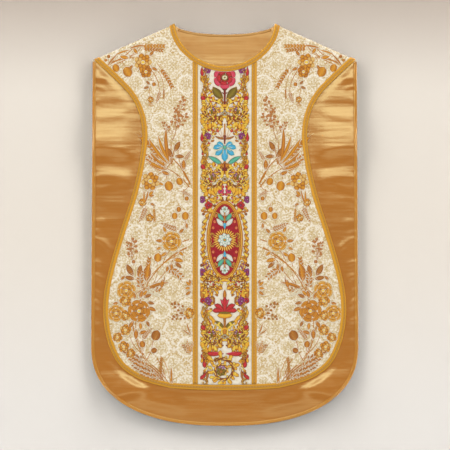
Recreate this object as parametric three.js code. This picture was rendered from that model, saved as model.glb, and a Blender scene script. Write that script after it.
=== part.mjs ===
// A fiddleback chasuble laid flat on its back, with the front panel uppermost.
// Millimetres, +Z up, X across the garment, +Y towards the neck, origin under the middle of the whole outline.
// The wide back panel lies face down with its satin lining showing. The narrower front panel, shaped like a
// fiddle, lies on that lining and is joined to the back only by the two shoulder seams.
import * as THREE from "three";

// Driving sizes of the cut
const BACK_LENGTH = 1104;
const FRONT_LENGTH = 1005;
const TIP_HALF_WIDTH = 363;
const FRONT_TIP_HALF_WIDTH = 359;
const BACK_HALF_WIDTH = 367;
const NECK_HALF_WIDTH = 137;
const SHOULDER_SLOPE = THREE.MathUtils.degToRad(23.9);
const FRONT_NECK_DEPTH = 117;
const BACK_NECK_DEPTH = 28.5;
const FRONT_NECK_POWER = 1.85;
const BACK_HEM_RISE = 222;
const BACK_HEM_POWER = 2.35;
const HEM_CORNER = 150;

// Trims and the embroidered column
const BRAID_WIDTH = 14;
const COLUMN_HALF_WIDTH = 74;
const EDGE_BINDING_WIDTH = 10;
const NECK_BINDING_WIDTH = 7;
const MEDALLION = { y: -41, halfWidth: 50, halfLength: 108 };

// Cloth walls, and the gaps between pieces that touch
const BACK_WALL = 2;
const LINING_WALL = 1.1;
const FRONT_WALL = 2.4;
const COLUMN_WALL = 0.9;
const BRAID_WALL = 1.3;
const BRAID_CROWN = 0.4;
const BINDING_WALL = 1;
const BINDING_CROWN = 0.5;
const MEDALLION_WALL = 1;
const MEDALLION_CROWN = 2.2;
const SEAM_GAP = 0.3;
const CURVED_SEAM_GAP = 0.7;
const LAY_GAP = 0.35;

// Heights of the layers
const LINING_BASE = BACK_WALL + SEAM_GAP;
const FRONT_REST = LINING_BASE + LINING_WALL + 0.5;
const LINING_INSET = { side: 0.4, shoulder: 3.4, neck: 0.6 };
const BINDING_END = 6;

// At a shoulder the front panel rolls over and down to its seam with the back panel. With this inner radius the
// roll uses up just the cloth that the wall's thickness adds, so the flat pattern keeps its size.
const ROLL_RADIUS = FRONT_WALL / (Math.PI / 2 - 1);
const ROLL_LENGTH = (ROLL_RADIUS * Math.PI) / 2;
const ROLL_STEPS = [0, 1, 2, 3, 4].map((i) => (i * ROLL_LENGTH) / 4);
const LOFT = { rise: 2, crest: 90, reach: 360 };
const ARMHOLE_LIFT = { y: 250, height: 3, spread: 130, from: 0.55 };
const BODY_WAVE = { height: 0.7, length: 420 };
const BODY_ROWS = { cornerShare: 0.74, levelBelow: 150 };

// The front panel's side, from the corner of its hem up towards the tip of its shoulder
const FRONT_SIDE = [
  { halfWidth: 150, y: -447 },
  { halfWidth: 206, y: -433 },
  { halfWidth: 248, y: -416 },
  { halfWidth: 290, y: -383 },
  { halfWidth: 318, y: -329 },
  { halfWidth: 332, y: -262 },
  { halfWidth: 331, y: -190 },
  { halfWidth: 314, y: -109 },
  { halfWidth: 284, y: -9 },
  { halfWidth: 252, y: 91 },
  { halfWidth: 231, y: 190 },
  { halfWidth: 226, y: 257 },
  { halfWidth: 237, y: 313 },
  { halfWidth: 260, y: 356 },
  { halfWidth: 300, y: 399 },
];

// The largest soft ridges in the lining, one row for each, repeated on the other side. x is measured outwards from
// the middle, and angle is the ridge's direction above the outward horizontal, in degrees.
const RIDGES = [
  { x: 338, y: 404, length: 60, width: 14, height: 2, angle: 6 },
  { x: 336, y: 358, length: 56, width: 13, height: 2, angle: 4 },
  { x: 308, y: 296, length: 118, width: 26, height: 4.6, angle: 4 },
  { x: 300, y: 224, length: 90, width: 15, height: 2.6, angle: -8 },
  { x: 322, y: 156, length: 90, width: 16, height: 3.2, angle: -3 },
  { x: 336, y: 104, length: 60, width: 14, height: 2.8, angle: 5 },
  { x: 330, y: 40, length: 70, width: 18, height: 1.8, angle: 0 },
  { x: 330, y: -44, length: 76, width: 14, height: 2.8, angle: 48 },
  { x: 346, y: -160, length: 60, width: 15, height: 2.4, angle: 38 },
  { x: 342, y: -378, length: 50, width: 14, height: 2.6, angle: 40 },
  { x: 306, y: -428, length: 116, width: 20, height: 4, angle: 30 },
  { x: 196, y: -492, length: 130, width: 22, height: 2.2, angle: 14 },
];

const COLOURS = {
  brocade: 0xefe4c8,
  satin: 0xc68f45,
  embroidery: 0xd9a63c,
  braid: 0xd59a2e,
  medallion: 0xb3202c,
};

const TOP = BACK_LENGTH / 2;
const FRONT_HEM = TOP - FRONT_LENGTH;
const SLOPE_COS = Math.cos(SHOULDER_SLOPE);
const SLOPE_SIN = Math.sin(SHOULDER_SLOPE);
const smooth = THREE.MathUtils.smoothstep;

/** Height of the shoulder line at a distance x from the middle. */
function shoulderY(x) {
  return TOP - (Math.abs(x) - NECK_HALF_WIDTH) * Math.tan(SHOULDER_SLOPE);
}

/** Distance of a point below the nearer shoulder line, square to that line. */
function belowShoulder(x, y) {
  return (shoulderY(x) - y) * SLOPE_COS;
}

/** The fraction of its depth that a superellipse has left at a share of its half width. */
function roundness(share, power) {
  return Math.pow(Math.max(0, 1 - Math.pow(Math.abs(share), power)), 1 / power);
}

function frontNeckY(x) {
  return TOP - FRONT_NECK_DEPTH * roundness(x / NECK_HALF_WIDTH, FRONT_NECK_POWER);
}

function backNeckY(x) {
  return TOP - BACK_NECK_DEPTH * roundness(x / NECK_HALF_WIDTH, 2);
}

/** A polyline of [x, y] points resampled at given distances along it. */
function pointsAlong(line, distances) {
  const reached = [0];
  for (let i = 1; i < line.length; i++) {
    const step = Math.hypot(line[i][0] - line[i - 1][0], line[i][1] - line[i - 1][1]);
    reached.push(reached[i - 1] + step);
  }
  return distances.map((distance) => {
    const wanted = THREE.MathUtils.clamp(distance, 0, reached.at(-1));
    let i = 1;
    while (i < line.length - 1 && reached[i] < wanted) i++;
    const share = (wanted - reached[i - 1]) / (reached[i] - reached[i - 1]);
    return [0, 1].map((k) => THREE.MathUtils.lerp(line[i - 1][k], line[i][k], share));
  });
}

function lengthOf(line) {
  let length = 0;
  for (let i = 1; i < line.length; i++)
    length += Math.hypot(line[i][0] - line[i - 1][0], line[i][1] - line[i - 1][1]);
  return length;
}

/** count + 1 points at even distances along a polyline. */
function evenly(line, count) {
  const length = lengthOf(line);
  return pointsAlong(line, range(count).map((i) => (length * i) / count));
}

/** The numbers 0 to count. */
function range(count) {
  return Array.from({ length: count + 1 }, (_, i) => i);
}

/** A polyline moved sideways, to the left of its direction for a positive distance. */
function moved(line, distance) {
  return line.map(([x, y], i) => {
    const [before, after] = [line[Math.max(0, i - 1)], line[Math.min(line.length - 1, i + 1)]];
    const [dx, dy] = [after[0] - before[0], after[1] - before[1]];
    const length = Math.hypot(dx, dy);
    return [x - (dy / length) * distance, y + (dx / length) * distance];
  });
}

function mirrored(line) {
  return line.map(([x, y]) => [-x, y]);
}

/** The height of a polyline that runs across, at a given x. */
function heightAt(line, x) {
  const ordered = [...line].sort((a, b) => a[0] - b[0]);
  let i = 1;
  while (i < ordered.length - 1 && ordered[i][0] < x) i++;
  const [[x0, y0], [x1, y1]] = [ordered[i - 1], ordered[i]];
  return THREE.MathUtils.mapLinear(x, x0, x1, y0, y1);
}

/** Distance from a point to an outline, positive inside it. */
function insideBy(outline, x, y) {
  let nearest = Infinity;
  let inside = false;
  outline.forEach(([x0, y0], i) => {
    const [x1, y1] = outline[(i + 1) % outline.length];
    const [dx, dy] = [x1 - x0, y1 - y0];
    const share = ((x - x0) * dx + (y - y0) * dy) / (dx * dx + dy * dy || 1);
    const t = THREE.MathUtils.clamp(share, 0, 1);
    nearest = Math.min(nearest, Math.hypot(x - x0 - t * dx, y - y0 - t * dy));
    if (y0 > y !== y1 > y && x < x0 + ((y - y0) / dy) * dx) inside = !inside;
  });
  return inside ? nearest : -nearest;
}

// Outlines of the two panels. Each side runs from the hem's corner up to the shoulder's tip, on the right.

function frontSide() {
  const tip = { halfWidth: FRONT_TIP_HALF_WIDTH, y: shoulderY(FRONT_TIP_HALF_WIDTH) };
  const knots = [...FRONT_SIDE, tip].map(({ halfWidth, y }) => new THREE.Vector3(halfWidth, y, 0));
  const curve = new THREE.CatmullRomCurve3(knots, false, "centripetal");
  return curve.getPoints(180).map(({ x, y }) => [x, y]);
}

function frontHem(x) {
  const corner = FRONT_SIDE[0];
  return FRONT_HEM + (corner.y - FRONT_HEM) * (x / corner.halfWidth) ** 2;
}

function backHem(x) {
  return BACK_HEM_RISE * (1 - roundness(x / BACK_HALF_WIDTH, BACK_HEM_POWER)) - TOP;
}

function backSide() {
  const first = Math.acos(Math.pow(HEM_CORNER / BACK_HALF_WIDTH, BACK_HEM_POWER / 2));
  const rounded = range(40).map((i) => {
    const across = Math.pow(Math.cos(first * (1 - i / 40)), 2 / BACK_HEM_POWER);
    return [BACK_HALF_WIDTH * across, backHem(BACK_HALF_WIDTH * across)];
  });
  return [...rounded, [TIP_HALF_WIDTH, shoulderY(TIP_HALF_WIDTH)]];
}

function closedOutline(side, hemY, neckY) {
  const hem = range(12).map((i) => {
    const x = side[0][0] * (i / 6 - 1);
    return [x, hemY(x)];
  });
  const neck = range(24).map((i) => {
    const x = NECK_HALF_WIDTH * Math.cos((Math.PI * i) / 24);
    return [x, neckY(x)];
  });
  return [...hem, ...side.slice(1), ...neck, ...mirrored(side.slice(1)).reverse()];
}

const FRONT_OUTLINE = closedOutline(evenly(frontSide(), 90), frontHem, frontNeckY);
const BACK_OUTLINE = closedOutline(backSide(), backHem, backNeckY);

// Surfaces that the cloth follows. Each gives the point that a spot of the flat pattern takes.

function frontPoint(x, y) {
  const below = belowShoulder(x, y);
  if (below < ROLL_LENGTH) {
    const turn = below / ROLL_RADIUS;
    const inwards = FRONT_WALL + ROLL_RADIUS * (1 - Math.cos(turn));
    const shift = below - inwards;
    const z = LINING_BASE + ROLL_RADIUS * Math.sin(turn);
    return new THREE.Vector3(x + Math.sign(x) * SLOPE_SIN * shift, y + SLOPE_COS * shift, z);
  }
  const softened = (shoulderY(Math.hypot(x, 60)) - y) * SLOPE_COS;
  const risen = LINING_BASE + ROLL_RADIUS - FRONT_REST + LOFT.rise * smooth(softened, ROLL_LENGTH, LOFT.crest);
  const loft = risen * (1 - smooth(softened, LOFT.crest, LOFT.reach));
  const nearArmhole = Math.exp(-(((y - ARMHOLE_LIFT.y) / ARMHOLE_LIFT.spread) ** 2));
  const lift = ARMHOLE_LIFT.height * nearArmhole * smooth(Math.abs(x) / 226, ARMHOLE_LIFT.from, 1.1);
  const wave = BODY_WAVE.height * (0.5 - 0.5 * Math.cos((2 * Math.PI * (y - FRONT_HEM)) / BODY_WAVE.length));
  const settled = smooth(softened, LOFT.crest, LOFT.reach);
  return new THREE.Vector3(x, y, FRONT_REST + loft + lift * settled + wave * settled);
}

function ridgeHeight(x, y) {
  let height = 0;
  for (const ridge of RIDGES) {
    const turn = THREE.MathUtils.degToRad(ridge.angle);
    const [dx, dy] = [Math.abs(x) - ridge.x, y - ridge.y];
    const along = dx * Math.cos(turn) + dy * Math.sin(turn);
    const across = dy * Math.cos(turn) - dx * Math.sin(turn);
    const end = smooth(ridge.length / 2 - Math.abs(along), -ridge.length / 4, ridge.length / 4);
    height += ridge.height * end * Math.exp(-((across / ridge.width) ** 2));
  }
  return height;
}

function liningPoint(x, y) {
  const underBinding = insideBy(BACK_OUTLINE, x, y) - EDGE_BINDING_WIDTH;
  const pastFront = -insideBy(FRONT_OUTLINE, x, y);
  const free = smooth(underBinding, 5, 20) * smooth(pastFront, 8, 24);
  return new THREE.Vector3(x, y, LINING_BASE + ridgeHeight(x, y) * free);
}

/** The unit normal of a surface, from points a little to each side. */
function normalOf(surface, x, y) {
  const step = 0.2;
  const across = surface(x + step, y).sub(surface(x - step, y));
  const along = surface(x, y + step).sub(surface(x, y - step));
  return across.cross(along).normalize();
}

// Grids of pattern points, as rows from the hem to the neck with points from left to right

/** Fills the space between four edges, each a list of points, with a grid. */
function filledGrid(hem, top, left, right) {
  const across = hem.map((_, i) => (top[i][0] - top[0][0]) / (top.at(-1)[0] - top[0][0]));
  const up = left.map((_, j) => lengthOf(left.slice(0, j + 1)) / lengthOf(left));
  return up.map((v, j) =>
    across.map((u, i) =>
      [0, 1].map((k) => {
        const between = (1 - v) * hem[i][k] + v * top[i][k] + (1 - u) * left[j][k] + u * right[j][k];
        const corners = (1 - v) * ((1 - u) * hem[0][k] + u * hem.at(-1)[k]) + v * ((1 - u) * top[0][k] + u * top.at(-1)[k]);
        return between - corners;
      }),
    ),
  );
}

/** Rows of points across a band between its two edges. */
function bandGrid(one, other, count) {
  return one.map((point, j) =>
    range(count).map((i) => [0, 1].map((k) => THREE.MathUtils.lerp(point[k], other[j][k], i / count))),
  );
}

/** Half a band, from a shoulder to the middle, followed by its mirror image. */
function bothHalves(one, other, count) {
  const half = bandGrid(one, other, count);
  const rest = half.slice(0, -1).reverse().map(mirrored);
  return [...half, ...rest];
}

/** The distance along a line at which it first comes a given way below the shoulder line. */
function distanceToDepth(line, depth) {
  let distance = 0;
  while (belowShoulder(...pointsAlong(line, [distance])[0]) < depth - 1e-9) distance += 0.05;
  return distance;
}

/** Points of a line that leaves a shoulder: close together over the shoulder's roll, then wider apart. */
function pointsFromShoulder(line, count) {
  const roll = ROLL_STEPS.map((depth) => distanceToDepth(line, depth));
  const rest = range(count).map((i) => THREE.MathUtils.lerp(roll.at(-1), lengthOf(line), (i / count) ** 1.25));
  return pointsAlong(line, [...roll.slice(0, -1), ...rest]);
}

/**
 * A closed cloth wall over a grid of pattern points. Its underside is the surface raised by lift, and its upper
 * side is thickness above that, plus crown in the middle of the grid's rows.
 */
function clothWall(grid, surface, lift, thickness, crown = () => 0) {
  const [rows, columns] = [grid.length, grid[0].length];
  const positions = [];
  for (const raised of [false, true])
    grid.forEach((row, j) =>
      row.forEach(([x, y], i) => {
        const height = lift + (raised ? thickness + crown(i / (columns - 1), j / (rows - 1)) : 0);
        const point = surface(x, y).addScaledVector(normalOf(surface, x, y), height);
        positions.push(point.x, point.y, point.z);
      }),
    );
  const lower = (j, i) => j * columns + i;
  const upper = (j, i) => rows * columns + lower(j, i);
  const faces = [];
  const quad = (a, b, c, d) => faces.push(a, b, c, a, c, d);
  for (let j = 0; j < rows - 1; j++)
    for (let i = 0; i < columns - 1; i++) {
      quad(upper(j, i), upper(j, i + 1), upper(j + 1, i + 1), upper(j + 1, i));
      quad(lower(j, i), lower(j + 1, i), lower(j + 1, i + 1), lower(j, i + 1));
    }
  for (let i = 0; i < columns - 1; i++) {
    quad(lower(0, i), lower(0, i + 1), upper(0, i + 1), upper(0, i));
    quad(lower(rows - 1, i + 1), lower(rows - 1, i), upper(rows - 1, i), upper(rows - 1, i + 1));
  }
  for (let j = 0; j < rows - 1; j++) {
    quad(lower(j + 1, 0), lower(j, 0), upper(j, 0), upper(j + 1, 0));
    quad(lower(j, columns - 1), lower(j + 1, columns - 1), upper(j + 1, columns - 1), upper(j, columns - 1));
  }
  const geometry = new THREE.BufferGeometry();
  geometry.setAttribute("position", new THREE.Float32BufferAttribute(positions, 3));
  geometry.setIndex(faces);
  geometry.computeVertexNormals();
  return geometry;
}

/** The grid turned over when its rows and points run clockwise, so that its wall faces out. */
function facingUp(grid) {
  const [[x0, y0], [x1, y1]] = [grid[0][0], grid[0].at(-1)];
  const [x2, y2] = grid[1][0];
  const clockwise = (x1 - x0) * (y2 - y0) - (y1 - y0) * (x2 - x0) < 0;
  return clockwise ? grid.map((row) => [...row].reverse()) : grid;
}

const roundedAcross = (height) => (u) => height * Math.sin(Math.PI * u);

function backPanel() {
  const shape = new THREE.Shape(BACK_OUTLINE.map(([x, y]) => new THREE.Vector2(x, y)));
  return new THREE.ExtrudeGeometry(shape, { depth: BACK_WALL, bevelEnabled: false });
}

function backLining() {
  const { side, shoulder, neck } = LINING_INSET;
  const shares = [1, 0.965, 0.925, 0.88, 0.83, 0.775, 0.71, 0.6];
  const tip = TIP_HALF_WIDTH - side;
  const shoulderEdge = shares.map((share) => [tip * share, shoulderY(tip * share) - shoulder / SLOPE_COS]);
  const neckEdge = [130, 80].map((x) => [x, backNeckY(x) - neck]);
  const half = [...shoulderEdge, ...neckEdge];
  const top = [...mirrored(half), [0, backNeckY(0) - neck], ...half.reverse()];
  const inset = moved(backSide(), side);
  inset[inset.length - 1] = top.at(-1);
  const right = evenly(inset, 52);
  const hem = top.map(([x]) => {
    const hemX = (right[0][0] * x) / tip;
    return [hemX, backHem(hemX) + side];
  });
  right[0] = hem.at(-1);
  const grid = filledGrid(hem, top, mirrored(right), right);
  return clothWall(grid, liningPoint, 0, LINING_WALL);
}

function edgeBinding() {
  const sideEdge = [...moved(backSide(), LINING_INSET.side)].reverse();
  const hemEdge = range(6).map((i) => {
    const x = HEM_CORNER * (1 - i / 6);
    return [x, backHem(x) + LINING_INSET.side];
  });
  const path = [...sideEdge, ...hemEdge.slice(1)];
  const count = 40;
  const stations = range(count).map((i) => THREE.MathUtils.lerp(BINDING_END, lengthOf(path), i / count));
  const outer = pointsAlong(path, stations);
  const inner = moved(outer, -(EDGE_BINDING_WIDTH - LINING_INSET.side));
  inner[count][0] = 0;
  const flat = (x, y) => new THREE.Vector3(x, y, LINING_BASE);
  const lift = LINING_WALL + SEAM_GAP;
  return clothWall(facingUp(bothHalves(outer, inner, 2)), flat, lift, BINDING_WALL, roundedAcross(BINDING_CROWN));
}

function neckBinding() {
  const reach = 126;
  const edge = range(16).map((i) => {
    const x = reach * (i / 8 - 1);
    return [x, backNeckY(x) - LINING_INSET.neck];
  });
  const inner = moved(edge, -NECK_BINDING_WIDTH);
  const flat = (x, y) => new THREE.Vector3(x, y, LINING_BASE);
  const lift = LINING_WALL + SEAM_GAP;
  return clothWall(facingUp(bandGrid(edge, inner, 2)), flat, lift, BINDING_WALL, roundedAcross(BINDING_CROWN));
}

/** The front panel's top edge moved in by a depth: two shoulder lines with the neck's scoop between them. */
function topRow(depth) {
  const side = [...frontSide()].reverse();
  const [sideX] = pointsAlong(side, [distanceToDepth(side, depth)])[0];
  const scoopX = NECK_HALF_WIDTH + depth / 2;
  const scoopTop = shoulderY(scoopX) - depth / SLOPE_COS;
  const scoopDepth = scoopTop - (TOP - FRONT_NECK_DEPTH - depth / 2);
  const shoulder = range(4).map((i) => {
    const x = THREE.MathUtils.lerp(sideX, scoopX, i / 4);
    return [x, shoulderY(x) - depth / SLOPE_COS];
  });
  const scoop = range(7).map((i) => {
    const share = i === 7 ? 0 : Math.cos((Math.PI * i) / 14);
    return [scoopX * share, scoopTop - scoopDepth * roundness(share, FRONT_NECK_POWER)];
  });
  const half = [...shoulder, ...scoop.slice(1)];
  return [...mirrored(half), ...half.reverse().slice(1)];
}

/** The front panel's rows below the roll: level low down, and taking the shape of its top edge near it. */
function bodyRows(top, side) {
  const { cornerShare, levelBelow } = BODY_ROWS;
  const outside = range(4).map((i) => THREE.MathUtils.lerp(1, cornerShare, i / 4));
  const inside = range(7).map((i) => cornerShare * (1 - i / 7));
  const half = [...outside, ...inside.slice(1)];
  const level = [...half.map((share) => -share), ...half.reverse().slice(1)];
  const [tipX, tipY] = top.at(-1);
  const [cornerX, cornerY] = side[0];
  return side.map(([sideX, sideY]) => {
    const shaped = THREE.MathUtils.clamp((sideY - levelBelow) / (tipY - levelBelow), 0, 1) ** 2;
    const nearHem = 1 - smooth(sideY, cornerY, cornerY + 400);
    return level.map((share, i) => {
      const x = sideX * THREE.MathUtils.lerp(share, top[i][0] / tipX, shaped);
      const dip = frontHem(cornerX * share) - cornerY;
      return [x, sideY + nearHem * dip + shaped * (top[i][1] - tipY)];
    });
  });
}

function frontPanel() {
  const rolled = ROLL_STEPS.map(topRow).reverse();
  const side = [...frontSide()].reverse();
  const right = pointsFromShoulder(side, 27).slice(ROLL_STEPS.length - 1).reverse();
  right[right.length - 1] = rolled[0].at(-1);
  return clothWall([...bodyRows(rolled[0], right), ...rolled.slice(1)], frontPoint, 0, FRONT_WALL);
}

const ON_FRONT = FRONT_WALL + LAY_GAP;

/** The front panel's edge from the right shoulder's tip to the middle of the hem. */
function borderPath() {
  const side = [...frontSide()].reverse();
  const hem = range(6).map((i) => [HEM_CORNER * (1 - i / 6), frontHem(HEM_CORNER * (1 - i / 6))]);
  return [...side, ...hem.slice(1)];
}

/** The neck's edge from the right neck point to the lowest point of the scoop. */
function scoopPath() {
  return range(40).map((i) => {
    const x = NECK_HALF_WIDTH * Math.cos((Math.PI * i) / 80);
    return [i === 40 ? 0 : x, frontNeckY(x)];
  });
}

/** A braid along an edge of the front panel, from shoulder to shoulder. */
function braidOnEdge(path, width, count) {
  const outer = pointsFromShoulder(path, count);
  const inner = pointsFromShoulder(moved(path, width), count);
  inner[inner.length - 1][0] = 0;
  return clothWall(facingUp(bothHalves(outer, inner, 2)), frontPoint, ON_FRONT, BRAID_WALL, roundedAcross(BRAID_CROWN));
}

/** The top and bottom of what lies between the neck's braid and the border's braid, at a given x. */
function betweenBraids(x) {
  const gap = BRAID_WIDTH + CURVED_SEAM_GAP;
  const neckEdge = moved(scoopPath(), gap);
  const whole = [...mirrored(neckEdge), ...neckEdge];
  return { top: heightAt(whole, x), bottom: frontHem(x) + gap };
}

/** A strip of cloth on the front panel, between two distances from the middle. */
function stripGrid(from, to, columns, rows) {
  const across = range(columns).map((i) => THREE.MathUtils.lerp(from, to, i / columns));
  const ends = across.map(betweenBraids);
  const steps = range(rows).map((j) => Math.sin((Math.PI / 2) * (j / rows)) ** 0.9);
  return steps.map((v) => across.map((x, i) => [x, THREE.MathUtils.lerp(ends[i].bottom, ends[i].top, v)]));
}

function embroideredColumn() {
  const half = COLUMN_HALF_WIDTH - SEAM_GAP;
  return clothWall(stripGrid(-half, half, 8, 24), frontPoint, ON_FRONT, COLUMN_WALL);
}

function columnBraid(side) {
  const edges = [side * COLUMN_HALF_WIDTH, side * (COLUMN_HALF_WIDTH + BRAID_WIDTH)].sort((a, b) => a - b);
  return clothWall(stripGrid(...edges, 2, 24), frontPoint, ON_FRONT, BRAID_WALL, roundedAcross(BRAID_CROWN));
}

/** An oval grid: a square one pushed out to round sides. */
function medallion() {
  const grid = range(14).map((j) =>
    range(8).map((i) => {
      const [u, v] = [i / 4 - 1, j / 7 - 1];
      const x = MEDALLION.halfWidth * u * Math.sqrt(1 - (v * v) / 2);
      const y = MEDALLION.halfLength * v * Math.sqrt(1 - (u * u) / 2);
      return [x, MEDALLION.y + y];
    }),
  );
  const dome = (s, t) => {
    const [u, v] = [2 * s - 1, 2 * t - 1];
    const outwards = u * u + v * v - u * u * v * v;
    return MEDALLION_CROWN * Math.sqrt(Math.max(0, 1 - outwards));
  };
  const lift = ON_FRONT + COLUMN_WALL + LAY_GAP;
  return clothWall(grid, frontPoint, lift, MEDALLION_WALL, dome);
}

function piece(name, geometry, colour, roughness, metalness) {
  const material = new THREE.MeshStandardMaterial({ color: colour, roughness, metalness });
  const mesh = new THREE.Mesh(geometry, material);
  mesh.name = name;
  return mesh;
}

const back = new THREE.Group();
back.add(
  piece("back_panel", backPanel(), COLOURS.brocade, 0.75, 0),
  piece("back_lining", backLining(), COLOURS.satin, 0.38, 0),
  piece("back_edge_binding", edgeBinding(), COLOURS.satin, 0.38, 0),
  piece("back_neck_binding", neckBinding(), COLOURS.satin, 0.38, 0),
);

const front = new THREE.Group();
front.add(
  piece("front_panel", frontPanel(), COLOURS.brocade, 0.75, 0),
  piece("column", embroideredColumn(), COLOURS.embroidery, 0.6, 0.1),
  piece("column_braid_left", columnBraid(-1), COLOURS.braid, 0.45, 0.3),
  piece("column_braid_right", columnBraid(1), COLOURS.braid, 0.45, 0.3),
  piece("border_braid", braidOnEdge(borderPath(), -BRAID_WIDTH, 42), COLOURS.braid, 0.45, 0.3),
  piece("neck_braid", braidOnEdge(scoopPath(), BRAID_WIDTH, 14), COLOURS.braid, 0.45, 0.3),
  piece("medallion", medallion(), COLOURS.medallion, 0.6, 0.1),
);

const chasuble = new THREE.Group();
chasuble.add(back, front);

export default chasuble;
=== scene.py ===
"""Looks of a fiddleback chasuble laid out flat, seen from straight above in a soft studio."""

import logging
from collections.abc import Callable, Iterable, Iterator, Sequence
from dataclasses import dataclass, field
from enum import Enum
from functools import partialmethod
from math import cos, degrees, pi, radians, sin, sqrt, tan
from typing import ClassVar

import bpy
import numpy as np
from bpy.types import ID, Material, NodeSocket, NodeTree, Object
from numpy import ndarray as Array
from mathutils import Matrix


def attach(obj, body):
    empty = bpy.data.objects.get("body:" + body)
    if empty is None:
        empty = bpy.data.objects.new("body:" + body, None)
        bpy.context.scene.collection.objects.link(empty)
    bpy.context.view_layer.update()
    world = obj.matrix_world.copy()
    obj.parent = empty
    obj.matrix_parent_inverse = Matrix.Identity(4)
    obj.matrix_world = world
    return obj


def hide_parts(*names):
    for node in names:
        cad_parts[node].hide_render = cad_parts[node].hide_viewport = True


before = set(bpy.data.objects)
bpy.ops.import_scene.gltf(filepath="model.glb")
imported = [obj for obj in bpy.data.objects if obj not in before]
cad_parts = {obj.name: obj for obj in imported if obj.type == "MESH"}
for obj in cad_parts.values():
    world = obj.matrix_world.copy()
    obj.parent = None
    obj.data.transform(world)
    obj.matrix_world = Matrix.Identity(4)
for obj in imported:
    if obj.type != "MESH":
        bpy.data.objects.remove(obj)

LOG = logging.getLogger("chasuble")
MM = 0.001
BODY = "root"
# The colour layer holds each thread's colour, with painted edge shade and a painted middle highlight.
COLOUR_LAYER = "thread"
LINING_SEAT = 2.3


# Small helpers


def stood(name: str, data: ID) -> Object:
    """A new object in the scene, with a mesh, light or camera as its data."""
    made = bpy.data.objects.new(name, data)
    bpy.context.scene.collection.objects.link(made)
    return made


def linear(hex_colour: str) -> tuple[float, float, float, float]:
    """A colour such as "C8974E" as Blender's linear red, green, blue and alpha."""
    parts = [int(hex_colour[i : i + 2], 16) / 255 for i in (0, 2, 4)]
    return (*(p / 12.92 if p <= 0.04045 else ((p + 0.055) / 1.055) ** 2.4 for p in parts), 1.0)


def smooth(value: Array, low: float, high: float) -> Array:
    """A soft step from 0 at low to 1 at high."""
    share = np.clip((np.asarray(value, float) - low) / (high - low), 0, 1)
    return share * share * (3 - 2 * share)


def lengths(line: Array) -> Array:
    """The distance along a polyline at each of its points."""
    return np.concatenate([[0.0], np.cumsum(np.linalg.norm(np.diff(line, axis=0), axis=1))])


def along(line: Array, distances: Array) -> Array:
    """The points at given distances along a polyline."""
    reached = lengths(line)
    return np.stack([np.interp(distances, reached, line[:, k]) for k in range(line.shape[1])], axis=1)


def evenly(line: Array, count: int) -> Array:
    """count + 1 points at even distances along a polyline."""
    return along(line, np.linspace(0, lengths(line)[-1], count + 1))


def moved(line: Array, distance: float) -> Array:
    """A polyline moved sideways, to the left of its direction for a positive distance."""
    direction = np.gradient(line, axis=0)
    direction /= np.linalg.norm(direction, axis=1)[:, None]
    return line + distance * np.stack([-direction[:, 1], direction[:, 0]], axis=1)


def ring(
    x: float, y: float, reach: float, angles: Iterable[float]
) -> Iterator[tuple[int, float, float, float]]:
    """Number, place and direction in degrees of points round a middle."""
    for k, angle in enumerate(angles):
        yield k, x + reach * cos(radians(angle)), y + reach * sin(radians(angle)), angle


def mirrored(line: Array) -> Array:
    """A line or grid of x, y points on the other side of the middle."""
    return line * np.array([-1.0, 1.0])


def inside_by(outline: Array, x: Array, y: Array) -> Array:
    """Distance of each point to a closed outline, positive inside it."""
    nearest = np.full(x.shape, np.inf)
    inside = np.zeros(x.shape, bool)
    for (x0, y0), (x1, y1) in zip(outline, np.roll(outline, -1, axis=0)):
        dx, dy = x1 - x0, y1 - y0
        share = np.clip(((x - x0) * dx + (y - y0) * dy) / (dx * dx + dy * dy + 1e-12), 0, 1)
        nearest = np.minimum(nearest, np.hypot(x - x0 - share * dx, y - y0 - share * dy))
        crosses = (y0 > y) != (y1 > y)
        inside ^= crosses & (x < x0 + (y - y0) * dx / (dy if dy else 1e-12))
    return np.where(inside, nearest, -nearest)


# The cut, repeated from the CAD source in millimetres


@dataclass(frozen=True)
class Ridge:
    """A soft ridge in the cloth, gentler on its upper side where upper is above 1.

    Its middle and sizes are in millimetres, angle is its direction above the outward horizontal in degrees,
    and bow is how far its ends stand off its line.
    """

    x: float
    y: float
    length: float
    width: float
    height: float
    angle: float
    upper: float = 1.0
    bow: float = 0.0


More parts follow.
